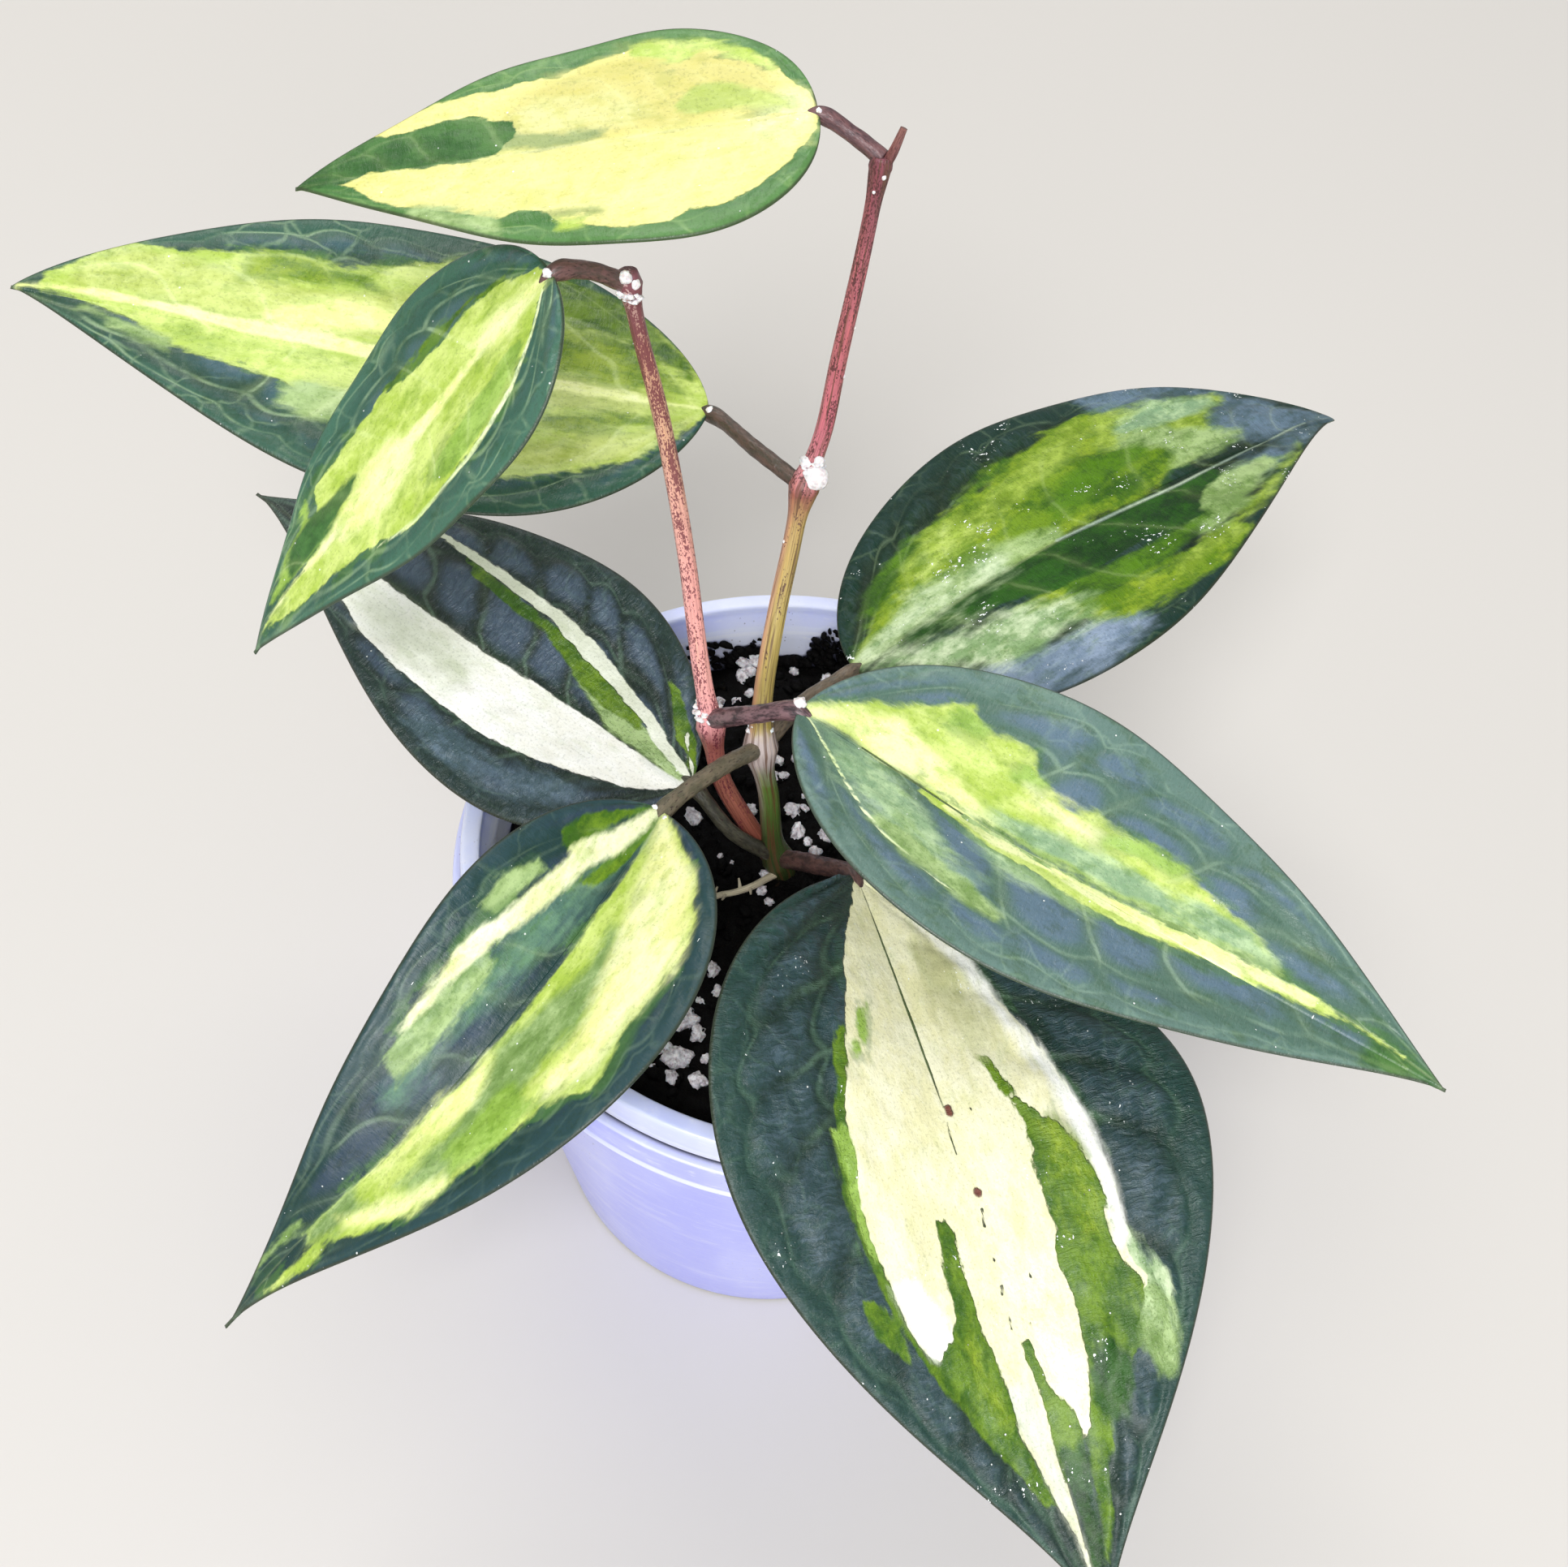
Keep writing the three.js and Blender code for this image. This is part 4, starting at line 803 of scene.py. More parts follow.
def vein_lines(shader, leaf, place, clouds, veins, zone):
    """Pale lines of the laterals, loops and net, where they may show, and the laterals' halo."""
    spacing = leaf["length"] / leaf["veins"]
    wander = shader.noise(place, (0.1, 0.12, 1), 1)
    wander = shader.add(wander, 4.0, -2.0)
    wide = 0.8 + 1.3 * leaf["puff"]
    to_collector = shader.math("ABSOLUTE", shader.add(wander, 0.25, veins[1]))
    to_outer = shader.math("ABSOLUTE", shader.add(wander, 0.25, zone[1]))
    to_lateral = shader.math("PINGPONG", shader.math("ADD", veins[2], wander), spacing / 2)
    fades = shader.step(clouds, 0.4, 0.6, 0.15, 0.9)
    inside = shader.step(zone[0], 0.55, 0.72, 1, 0)
    lateral = shader.times(shader.step(to_lateral, 0.1, 0.6 * wide, 0.8, 0), inside)
    loops = shader.math("MINIMUM", to_collector, shader.math("ADD", to_outer, 0.15))
    lines = shader.math("MAXIMUM", lateral, shader.step(loops, 0.05, 0.5 * wide, 0.6, 0))
    net = shader.cells(shader.warp(place, (0.2, 0.2, 1), 4), (0.13, 0.19, 1))
    netting = shader.times(shader.step(net, 0.0, 0.07, 0.4, 0),
                           shader.step(zone[0], 0.45, 0.8, 0.1, 0.8))
    lines = shader.times(shader.math("MAXIMUM", lines, netting), fades)
    halo = shader.times(shader.step(to_lateral, 0.2, 2.4, 0.8, 0), inside)
    return lines, fades, halo


def leaf_material(leaf):
    """Skin of one blade: its ground, then its layers with ragged edges, veins and margin."""
    shader = Shader(leaf["name"] + "_skin", Specular_IOR_Level=leaf["sheen"],
                    Coat_Weight=0.25 * leaf["sheen"], Coat_Roughness=0.28)
    place = shader.attribute("place", "Vector")
    drift = shader.math("SUBTRACT", shader.noise(place, (0.09, 0.35, 1), 3), 0.5)
    fray = shader.add(shader.noise(place, (0.5, 0.9, 1), 3, 0.6), 1.5, -0.75)
    clouds = shader.noise(place, (0.075, 0.15, 1), 5, 0.6)
    patchy = shader.step(clouds, 0.46, 0.56)
    mottle = shader.noise(place, (0.4, 0.55, 1), 4, 0.65)
    grain = shader.noise(place, (2.2, 2.2, 1), 2)
    mingle = shader.step(shader.add(mottle, 0.38, shader.times(clouds, 0.62)), 0.4, 0.6)
    shade = shader.noise(place, (0.16, 0.3, 1), 5, 0.65)
    veins = shader.split(shader.attribute("veins", "Vector"))
    zone = shader.split(shader.attribute("zone", "Vector"))
    lines, fades, halo = vein_lines(shader, leaf, place, clouds, veins, zone)

    # The green ground: darker beside the veins; painted sheen on the puffed fields and wrinkles.
    beside_vein, field, outside = leaf["ground"]
    raised = shader.add(clouds, 1.6, shader.math("SUBTRACT", zone[2], 0.8))
    colour = shader.mix(shader.step(raised, 0.0, 0.8), tone(beside_vein), tone(field))
    rind = shader.add(mottle, 0.3, zone[0])
    colour = shader.tint(colour, shader.step(rind, 0.88, 1.05, 0, 0.85), outside)
    strength = leaf["vein_strength"]
    colour = shader.tint(colour, shader.times(lines, strength), leaf["vein"])
    crinkle = shader.noise(shader.warp(place, (0.3, 0.3, 1), 2), (1.3, 0.3, 1), 4, 0.62)
    # Painted sheen: a blue-grey tint on the wrinkle crests.
    wrinkle_sheen = shader.times(shader.step(crinkle, 0.42, 0.64, 0, 0.5), zone[2])
    colour = shader.tint(colour, shader.times(wrinkle_sheen, leaf["wrinkle"] ** 2), WRINKLE_SHEEN_TONE)

    # The variegation, layer over layer.
    for index, (name, soft, *_) in enumerate(leaf["layers"]):
        first, second, ragged, fringed = PALETTE[name]
        push = shader.add(drift, 2.5 + 3 * soft, fray)
        depth = shader.add(push, ragged, shader.attribute(f"layer_{index}"))
        paint = shader.mix(mingle, tone(first), tone(second))
        if fringed:
            beside = shader.step(shader.add(patchy, 2.4, depth), -0.3, 1.2 + soft, 0, fringed)
            colour = shader.tint(colour, beside, FRINGE_TONE)
        colour = shader.mix(shader.step(depth, -soft, soft), colour, paint)

    # Shades and veins that show through it, then the margin and the underside.
    dull = 0.1 + 0.4 * leaf["glow"]
    colour = shader.tint(colour, shader.step(shade, 0.5, 0.66, 0, dull), "#b4c98a", "MULTIPLY")
    strength = strength * leaf["glow"]
    colour = shader.tint(colour, shader.times(lines, 0.55 * strength), "#c6d79a", "SCREEN")
    colour = shader.tint(colour, shader.times(halo, 0.3 * strength), "#8f9a5a", "SCREEN")
    to_rib = shader.math("ABSOLUTE", veins[0])
    rib_line = shader.times(shader.step(to_rib, 0.1, 0.45, 0.5, 0), fades)
    colour = shader.tint(colour, shader.times(rib_line, strength), "#dfe8b0")
    colour = shader.tint(colour, shader.step(grain, 0.52, 0.7, 0, 0.2), "#24380f")
    edge = shader.attribute("edge")
    colour = shader.tint(colour, shader.step(edge, 0.1, 0.55, 0.75, 0), MARGIN_TONE)
    colour = shader.mix(shader.attribute("under"), colour,
                        shader.mix(0.55, colour, tone(UNDERSIDE_TONE)))

    # Dust, white splashes and painted glints.
    dust = shader.cells(place, (0.3, 0.3, 1), "F1")
    litter = shader.times(shader.step(dust, 0.03, 0.06, 0.75, 0), shader.step(mottle, 0.42, 0.5))
    colour = shader.tint(colour, litter, "#eef2ee")
    # White specks, partly splashes and partly painted glints on the gloss.
    where = shader.step(shader.noise(place, (0.12, 0.14, 1), 1), 0.5, 0.75)
    spots = shader.noise(place, (1.3, 1.8, 1), 2, 0.6)
    spots = shader.add(where, 0.2 * leaf["splash_and_glint"], spots)
    colour = shader.tint(colour, shader.step(spots, 0.79, 0.81, 0, 0.9), "#f2f6f4")

    # Dark skin is wrinkled, and pale skin smooth.
    brightness = shader.node("RGBToBW", {0: colour}).outputs[0]
    rough = shader.step(brightness, 0.08, 0.45, leaf["wrinkle"], 0.08 * leaf["wrinkle"])
    height = shader.add(mottle, 0.3, shader.times(crinkle, rough))
    shader.bump(height, 0.4 + 0.4 * leaf["wrinkle"])
    return shader.finish(colour, shader.step(mottle, 0.35, 0.65, 0.33, 0.46))


# ------------------------------------------------------------------ meshes


def add_object(name, data):
    made = bpy.data.objects.new(name, data)
    bpy.context.scene.collection.objects.link(made)
    return made


def make_piece(name, points, faces, materials, slot, node=None, values=(), face_material=None):
    """One object of the plant or pot, its mesh in the part's frame, riding on the only body."""
    mesh = bpy.data.meshes.new(name)
    mesh.from_pydata((np.asarray(points) * MM).tolist(), [], faces)
    for material in materials:
        mesh.materials.append(material)
    mesh.polygons.foreach_set("use_smooth", [True] * len(faces))
    if face_material is not None:
        mesh.polygons.foreach_set("material_index", face_material)
    for label, data in dict(values).items():
        data = np.asarray(data, dtype=np.float32)
        kind, field = ("FLOAT", "value") if data.ndim == 1 else ("FLOAT_VECTOR", "vector")
        mesh.attributes.new(label, kind, "POINT").data.foreach_set(field, data.ravel())
    piece = add_object(name, mesh)
    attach(piece, "root")
    if node:
        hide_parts(node)
    return piece


def join_parts(parts):
    """Several (points, faces) as one pair."""
    points, faces, start = [], [], 0
    for part_points, part_faces in parts:
        points.append(np.asarray(part_points))
        faces += [tuple(index + start for index in face) for face in part_faces]
        start += len(part_points)
    return np.vstack(points), faces


def bell(distance, reach):
    """1 at no distance, falling to nothing over a few times the reach."""
    return np.exp(-((distance / reach) ** 2))


def round_angles(sides):
    return np.linspace(0, TURN, sides, endpoint=False)


def on_circle(radius, angle):
    return radius * math.cos(angle), radius * math.sin(angle)


def distances(line):
    """How far along a line each of its points lies."""
    return np.concatenate([[0], np.cumsum(np.linalg.norm(np.diff(line, axis=0), axis=1))])


def smooth_path(points, count):
    """A centripetal Catmull-Rom curve through the points, as evenly spaced places."""
    substeps = 24
    points = np.array(points, dtype=float)
    knots = np.vstack([2 * points[0] - points[1], points, 2 * points[-1] - points[-2]])
    share = np.linspace(0, 1, substeps + 1)[:-1, None]
    stretches = []
    for a, b, c, d in zip(knots, knots[1:], knots[2:], knots[3:]):
        before, here, after = (np.linalg.norm(q - p) ** 0.5 for p, q in ((a, b), (b, c), (c, d)))
        leave = (b - a) / before - (c - a) / (before + here) + (c - b) / here
        arrive = (c - b) / here - (d - b) / (here + after) + (d - c) / after
        leave, arrive = leave * here, arrive * here
        square = 3 * (c - b) - 2 * leave - arrive
        cube = 2 * (b - c) + leave + arrive
        stretches.append(b + leave * share + square * share**2 + cube * share**3)
    line = np.vstack(stretches + [points[-1:]])
    walked = distances(line)
    even = np.linspace(0, walked[-1], count)
    return np.stack([np.interp(even, walked, line[:, k]) for k in range(3)], 1)


def ring_faces(rows, sides):
    faces = []
    for row in range(rows - 1):
        for side in range(sides):
            a, b = row * sides + side, row * sides + (side + 1) % sides
            faces.append((a, b, b + sides, a + sides))
    return faces


def end_faces(rows, sides):
    last = (rows - 1) * sides
    return [tuple(range(sides - 1, -1, -1)), tuple(last + side for side in range(sides))]


def tube(path, radius_at, sides):
    """A closed bar along a path: its points and faces, then for each point the angle round the
    bar and the length along it."""
    rows = len(path)
    along = np.gradient(path, axis=0)
    along /= np.linalg.norm(along, axis=1)[:, None]
    walked = distances(path)
    angles = round_angles(sides)
    side = np.array([1.0, 0.0, 0.0])
    points = []
    for row in range(rows):
        side = side - along[row] * side.dot(along[row])
        side /= np.linalg.norm(side)
        other = np.cross(along[row], side)
        radii = radius_at(row / (rows - 1), path[row], walked[row], angles)
        spokes = np.outer(np.cos(angles), side) + np.outer(np.sin(angles), other)
        points.append(path[row] + spokes * np.reshape(radii, (-1, 1)))
    faces = ring_faces(rows, sides) + end_faces(rows, sides)
    return np.vstack(points), faces, np.tile(angles, rows), np.repeat(walked, sides)


def ball(subdivisions):
    shape = bmesh.new()
    bmesh.ops.create_icosphere(shape, subdivisions=subdivisions, radius=1)
    points = np.array([vertex.co[:] for vertex in shape.verts])
    faces = [tuple(vertex.index for vertex in face.verts) for face in shape.faces]
    shape.free()
    return points, faces


def lump(template, radius, squash, roughness, seed):
    """A rough pebble round the origin."""
    points, faces = template
    offset = Vector((seed * 7.3, seed * 3.1, seed * 1.7))
    swell = [1 + roughness * noise.fractal(Vector(p) * 1.4 + offset, 0.8, 2.2, 3) for p in points]
    return points * np.array(swell)[:, None] * np.array(squash) * radius, faces


def set_down(shape, angle, place):
    """A (points, faces) pair turned about the upright axis, then moved to its place."""
    points, faces = shape
    return points @ np.array(Matrix.Rotation(angle, 3, "Z")).T + place, faces


# ------------------------------------------------------------------ pots


def rounded(corners):
    """An outline through the corners (radius, height, fillet), each rounded by its fillet."""
    outline = []
    for index, (r, z, fillet) in enumerate(corners):
        here = np.array([r, z], dtype=float)
        if fillet == 0:
            outline.append(here)
            continue
        before = np.array(corners[index - 1][:2], dtype=float) - here
        after = np.array(corners[index + 1][:2], dtype=float) - here
        start = here + before / np.linalg.norm(before) * fillet
        end = here + after / np.linalg.norm(after) * fillet
        for k in range(FILLET_STEPS + 1):
            share = k / FILLET_STEPS
            outline.append((1 - share) ** 2 * start + 2 * share * (1 - share) * here
                           + share**2 * end)
    return outline


def revolve(outline):
    """Turns an outline that starts and ends on the axis into a closed shell."""
    inner = outline[1:-1]
    points = [(*on_circle(r, angle), z) for r, z in inner for angle in round_angles(POT_SIDES)]
    faces = ring_faces(len(inner), POT_SIDES)
    last = (len(inner) - 1) * POT_SIDES
    points += [(0, 0, outline[0][1]), (0, 0, outline[-1][1])]
    low, high = len(points) - 2, len(points) - 1
    for side in range(POT_SIDES):
        turn = (side + 1) % POT_SIDES
        faces.append((low, turn, side))
        faces.append((high, last + side, last + turn))
    return np.array(points), faces


def make_outer_pot():
    height, rim, base, shoulder = (OUTER_POT[key] for key in ("height", "rim", "base", "shoulder"))
    wall, floor = OUTER_POT["wall"], OUTER_POT["floor"]
    foot = height - OUTER_POT["band"]
    body_top = foot - OUTER_POT["slope"]
    bore = shoulder - wall
    line, reach = OUTER_POT["parting"], OUTER_POT["parting_reach"]

    def body(z):
        return base + (shoulder - base) * z / body_top

    outline = rounded([
        (0, 0, 0), (base, 0, 0.8), (body(line - reach), line - reach, 0.1),
        (body(line) - OUTER_POT["parting_depth"], line, 0.1),
        (body(line + reach), line + reach, 0.1), (shoulder, body_top, 0.5),
        (rim - 0.7, foot - 0.4, 0.3), (rim - 0.2, foot + 0.4, 0.35),
        (rim - 0.8, foot + 1.0, 0.3), (rim, foot + 2.6, 0.5), (rim, height, 0.5),
        (bore + 0.4, height, 0.4), (bore, body_top, 1.0), (base - wall, floor, 0.8), (0, floor, 0),
    ])
    # Painted highlights on the top edge and at the foot of the rim band, and painted shade under
    # the band and in the parting groove.
    lines = [(height, 0.5, "#dfe2ff", 0.6), (foot + 0.5, 0.6, "#e2e5ff", 0.6),
             (foot - 1, 0.8, "#7f83c4", 0.6), (line, 0.35, "#787cb8", 0.7)]
    skin = plastic_material("outer_plastic", "#a4a8f8", "#b8bcff", 0.35, lines)
    make_piece("outer_pot_shell", *revolve(outline), [skin], "outer_pot", node="outer_pot")


def liner_inside(z):
    share = (z - LINER["bottom"]) / (LINER["seat"] - LINER["bottom"])
    return LINER["base"] + (LINER["neck"] - LINER["base"]) * share - LINER["wall"]


def make_liner():
    top, lip, mouth, seat = (LINER[key] for key in ("top", "lip", "mouth", "seat"))
    foot = top - LINER["skirt"]
    bottom = LINER["bottom"]
    inner = bottom + LINER["floor"]
    skirt_inside = lip - LINER["wall"]
    outline = rounded([
        (0, bottom, 0), (LINER["base"], bottom, 0.6), (LINER["neck"], seat, 0.3),
        (skirt_inside, seat, 0.3), (skirt_inside, foot, 0.15), (lip, foot, 0.35),
        (lip, top, 0.7), (mouth, top, 0.5), (mouth - 0.1, top - 1.6, 0.4),
        (liner_inside(seat), seat, 0.8), (liner_inside(inner), inner, 0.8), (0, inner, 0),
    ])
    # Painted highlight lines round the liner near the foot of its lip.
    lines = [(foot + 0.3, 0.5, "#e4e6ff", 0.5), (seat + 1.5, 0.5, "#dfe3ff", 0.4)]
    skin = plastic_material("liner_plastic", "#c4caff", "#d8dcff", 0.7, lines)
    pot = make_piece("liner_shell", *revolve(outline), [skin], "liner_pot", node="liner_pot")
    cut_drain_holes(pot)


def cut_drain_holes(pot):
    """Cuts the round drain holes through the liner's floor."""
    cutter = bmesh.new()
    radius = LINER["drain_radius"] * MM
    for index in range(LINER["drain_holes"]):
        place = on_circle(LINER["drain_circle"] * MM, TURN * index / LINER["drain_holes"])
        bmesh.ops.create_cone(
            cutter, cap_ends=True, segments=32, radius1=radius, radius2=radius,
            depth=4 * LINER["floor"] * MM,
            matrix=Matrix.Translation((*place, LINER["bottom"] * MM)),
        )
    mesh = bpy.data.meshes.new("drain_cutter")
    cutter.to_mesh(mesh)
    cutter.free()
    tool = add_object("drain_cutter", mesh)
    cut = pot.modifiers.new("drain", "BOOLEAN")
    cut.operation, cut.object, cut.solver = "DIFFERENCE", tool, "EXACT"
    shape = pot.evaluated_get(bpy.context.evaluated_depsgraph_get())
    carved = bpy.data.meshes.new_from_object(shape)
    pot.modifiers.clear()
    old, pot.data = pot.data, carved
    bpy.data.meshes.remove(old)
    bpy.data.objects.remove(tool)
    bpy.data.meshes.remove(mesh)


# ------------------------------------------------------------------ soil


def soil_level(x, y):
    share = np.hypot(x, y) / liner_inside(SOIL["top"])
    level = SOIL["top"] + SOIL["crown"] * (1 - share * share)
    for along_x, along_y, height in SOIL["hummocks"]:
        level = level + height * np.sin(TURN * (x / along_x + y / along_y))
    return level


def soil_bed():
    """The soil as a closed body with a crumbly top."""
    edge = liner_inside(SOIL["top"]) - SOIL["clearance"]
    rings, sides = SOIL["rings"], SOIL["sides"]
    angles = round_angles(sides)
    points = []
    for ring in range(rings + 1):
        radius = max(edge * ring / rings, 0.05)
        for angle in angles:
            x, y = on_circle(radius, angle)
            crumb = noise.fractal(Vector((x, y, 0)) * 0.45, 0.7, 2.1, 5)
            points.append((x, y, soil_level(x, y) + SOIL["roughness"] * crumb))
    floor = LINER["bottom"] + LINER["floor"] + SOIL["over_floor"]
    low_edge = liner_inside(floor) - SOIL["clearance"]
    points += [(*on_circle(low_edge, angle), floor) for angle in angles]
    faces = ring_faces(rings + 2, sides) + end_faces(rings + 2, sides)
    return np.array(points), [tuple(reversed(face)) for face in faces]


def soil_crumbs(random):
    """Crumbs and bark bits that lie on the soil, and some that stick to the liner's wall."""
    template = ball(1)
    edge = liner_inside(SOIL["top"]) - 1.6
    parts = []
    for index in range(CRUMBS["on_soil"]):
        away = edge * math.sqrt(random.random())
        x, y = on_circle(away, TURN * random.random())
        size = 0.3 + 0.9 * random.random() ** 3
        crumb = lump(template, size, (1.4, 0.9, 0.7), 0.6, index)
        parts.append(set_down(crumb, random.random() * math.pi, (x, y, soil_level(x, y) + 0.3)))
    mean, swing = CRUMBS["climb"]
    for index in range(CRUMBS["on_wall"]):
        angle = math.radians(90 + CRUMBS["spread"] * (random.random() + random.random() - 1))
        reach = mean + swing * noise.noise(Vector((9 * angle, 0.5, 0)))
        climb = max(reach, 0.8) * random.random() ** 1.5
        z = SOIL["top"] + climb
        away = min(liner_inside(z), liner_inside(SOIL["top"]) + 1.5) - 0.4 - 0.5 * random.random()
        size = 0.35 + 0.85 * random.random() ** 2 * (1 - climb / (mean + swing))
        crumb = lump(template, size, (1.4, 0.8, 0.8), 0.8, 2000 + index)
        place = (*on_circle(away, angle), z)
        parts.append(set_down(crumb, angle + 1.6 * random.random(), place))
    return join_parts(parts)


def perlite_crumbs(random):
    template = ball(3)
    spots = list(PERLITE_SPOTS)
    reach = liner_inside(SOIL["top"]) - 4
    for _ in range(LOOSE_PERLITE):
        away = reach * math.sqrt(0.06 + 0.94 * random.random())
        place = on_circle(away, TURN * random.random())
        spots.append((*place, 0.5 + random.random() ** 2))
    parts = []
    for index, (x, y, radius) in enumerate(spots):
        squash = (1, 0.75 + 0.3 * random.random(), 0.7 + 0.2 * random.random())
        crumb = lump(template, radius, squash, 0.55, 40 + index)
        place = (x, y, soil_level(x, y) + 0.35 * radius)
        parts.append(set_down(crumb, random.random() * math.pi, place))
    return join_parts(parts)


def make_soil():
    random = np.random.default_rng(SOIL_SEED)
    skin = soil_material()
    make_piece("soil_bed", *soil_bed(), [skin], "soil", node="soil")
    make_piece("soil_crumbs", *soil_crumbs(random), [skin], "soil")
    make_piece("perlite", *perlite_crumbs(random), [perlite_material()], "perlite")


# ------------------------------------------------------------------ stems


def stem_radius(stem):
    first, last = stem["radii"]

    def radius(share, place, walked, angles):
        plain = first + (last - first) * share
        for height, swell, reach in stem.get("nodes", ()):
            away = place[2] - height
            plain += swell * bell(away, reach)
            plain += NODE_SCAR[0] * bell(away, NODE_SCAR[1])
        ridges = np.sin(5 * angles + 0.11 * walked) + np.sin(8 * angles - 0.07 * walked + 1)
        return plain * (1 + 0.016 * ridges)

    return radius


def skin_place(turn, lengths):
    """A place on the skin of a bar, for its shader: across to its axis, and along it."""
    return np.stack([2 * np.cos(turn), 2 * np.sin(turn), lengths], 1)


def stem_values(points, turn, lengths):
    low, high = STEM_HEIGHTS
    height = (points[:, 2] - low) / (high - low)
    return {"skin": skin_place(turn, lengths), "height": height,
            "flank": 0.5 - 0.5 * np.cos(turn)}


def make_stems():
    """Both stems, the growing tip and the aerial root with its side hairs, as one piece."""
    keys = list(STEMS)
    materials = [stem_material(STEM_TONES[key], *STEM_SKINS[key]) for key in keys]
    bars = list(STEMS.items())
    for start, end in ROOT_HAIRS:
        middle = tuple((a + b) / 2 for a, b in zip(start, end))
        hair = {"path": [start, middle, end], "radii": HAIR_RADII, "rows": STEMS["root"]["rows"]}
        bars.append(("root", hair))
    parts, kinds, gathered = [], [], []
    for key, stem in bars:
        path = smooth_path(stem["path"], stem["rows"])
        points, faces, turn, lengths = tube(path, stem_radius(stem), STEM_SIDES)
        parts.append((points, faces))
        kinds += [keys.index(key)] * len(faces)
        gathered.append(stem_values(points, turn, lengths))
    values = {label: np.concatenate([g[label] for g in gathered]) for label in gathered[0]}
    make_piece("stems_skin", *join_parts(parts), materials, "stem", node="stems",
               values=values, face_material=kinds)


# ------------------------------------------------------------------ leaves


def half_width(side, s):
    half, round_base, taper = side
    widest = round_base / (round_base + taper)
    s = np.clip(s, 0, 1)
    return half * (s / widest) ** round_base * ((1 - s) / (1 - widest)) ** taper


def blade_frame(leaf, s):
    """Directions at share s of the midrib: along it, across to the left margin, and up."""
    heading = np.radians(leaf["heading"] + leaf["sweep"] * s)
    rise = np.radians(leaf["rise"] - leaf["droop"] * s)
    roll = np.radians(leaf["roll"] + leaf["twist"] * s)[..., None]
    level_part = np.cos(rise)
    along = np.stack([level_part * np.cos(heading), level_part * np.sin(heading), np.sin(rise)],
                     -1)
    level = np.stack([-np.sin(heading), np.cos(heading), np.zeros_like(s)], -1)
    across = level * np.cos(roll) + np.cross(along, level) * np.sin(roll)
    return along, across, np.cross(along, across)


def joint_frame(leaf):
    """The same directions at the blade's base."""
    return [direction[0] for direction in blade_frame(leaf, np.zeros(1))]


def midrib_places(leaf, s):
    fine = np.linspace(0, 1, 401)
    along, _, _ = blade_frame(leaf, (fine[:-1] + fine[1:]) / 2)
    steps = along * np.diff(fine)[:, None] * leaf["length"]
    line = np.vstack([np.zeros(3), np.cumsum(steps, 0)]) + leaf["base"]
    return np.stack([np.interp(s, fine, line[:, k]) for k in range(3)], -1)


def blade_width(leaf, s, t):
    width = np.where(t < 0, half_width(leaf["right"], s), half_width(leaf["left"], s))
    return np.maximum(width, BLADE["least_half_width"])


def from_midrib(leaf, s, t):
    """Where the midrib lies across the blade, and the share of the way from it to the margin."""
    along, across = np.array(leaf["midrib"]).T / 100
    rib = np.interp(s, along, across)
    return rib, np.where(t >= rib, (t - rib) / (1 - rib), (rib - t) / (1 + rib))


def blade_middle(leaf, s, t):
    """Places on the blade's middle surface."""
    width = blade_width(leaf, s, t)
    _, across, up = blade_frame(leaf, s)
    rib, away = from_midrib(leaf, s, t)
    fold = math.radians(leaf["fold"])
    phase = TURN * MARGIN_WAVE["waves"] * s + MARGIN_WAVE["offset"] * np.sign(t)
    wave = MARGIN_WAVE["height"] * np.sin(phase) * np.sin(math.pi * s)
    crease = BLADE["crease"]
    bent = np.sqrt(away**2 + crease**2) - crease
    lift = (np.abs(rib) + (1 - np.abs(rib)) * bent) * width * math.sin(fold)
    lift = lift + (wave - leaf["arch"] * width) * t * t
    middle = midrib_places(leaf, s) + across * (t * width * math.cos(fold))[..., None]
    return middle + up * lift[..., None]


def vein_fields(leaf, s, t):
    """In mm: across to the midrib, the collecting vein and the outer loops, and the run along
    the row of laterals. Also the share of the way from the midrib to the margin."""
    width = blade_width(leaf, s, t)
    rib, away = from_midrib(leaf, s, t)
    side = np.where(t >= rib, 1.0, -1.0)
    (long_height, long_waves), (short_height, short_waves) = VEINS["long_wave"], VEINS["short_wave"]
    phase = leaf["veins"] * (s - VEINS["lean"] * away - VEINS["curve"] * away**2)
    phase = phase + VEINS["stagger"] * side * np.minimum(away / 0.1, 1)
    phase = phase + long_height * np.sin(TURN * long_waves * s + leaf["length"])
    short_wave = np.sin(TURN * short_waves * s + 2 * side) * np.minimum(away / 0.3, 1)
    phase = phase + short_height * short_wave
    start = 1 - np.exp(-s / VEINS["collector_start"])
    scallop = VEINS["scallop"] * np.abs(np.sin(math.pi * phase))
    collector = leaf["collector"] * start + scallop
    outer = VEINS["outer"] * start + scallop
    spacing = leaf["length"] / leaf["veins"]
    return ((t - rib) * width, (away - collector) * width, (away - outer) * width,
            phase * spacing, away)


def fields_between(leaf, t, veins):
    """How far inside a field between veins a place is: 0 on a vein, 1 in the middle."""
    to_rib, to_collector, to_outer, run, _ = veins
    phase = run * leaf["veins"] / leaf["length"]
    share = np.abs(np.sin(math.pi * phase)) ** 0.8
    for distance, reach in ((to_rib, 3.0), (to_collector, 2.0), (to_outer, 1.6)):
        share = share * (1 - bell(distance, reach))
    return share * np.clip((1 - np.abs(t)) * 8, 0, 1)


def uneven(leaf, s, t, width):
    """Lumps of the blade, a few millimetres across."""
    shift = leaf["heading"]
    places = zip((s * leaf["length"]).ravel(), (t * width).ravel())
    heights = [noise.fractal(Vector((0.18 * x, 0.3 * y, shift)), 0.6, 2.1, 4) for x, y in places]
    return np.reshape(heights, s.shape)


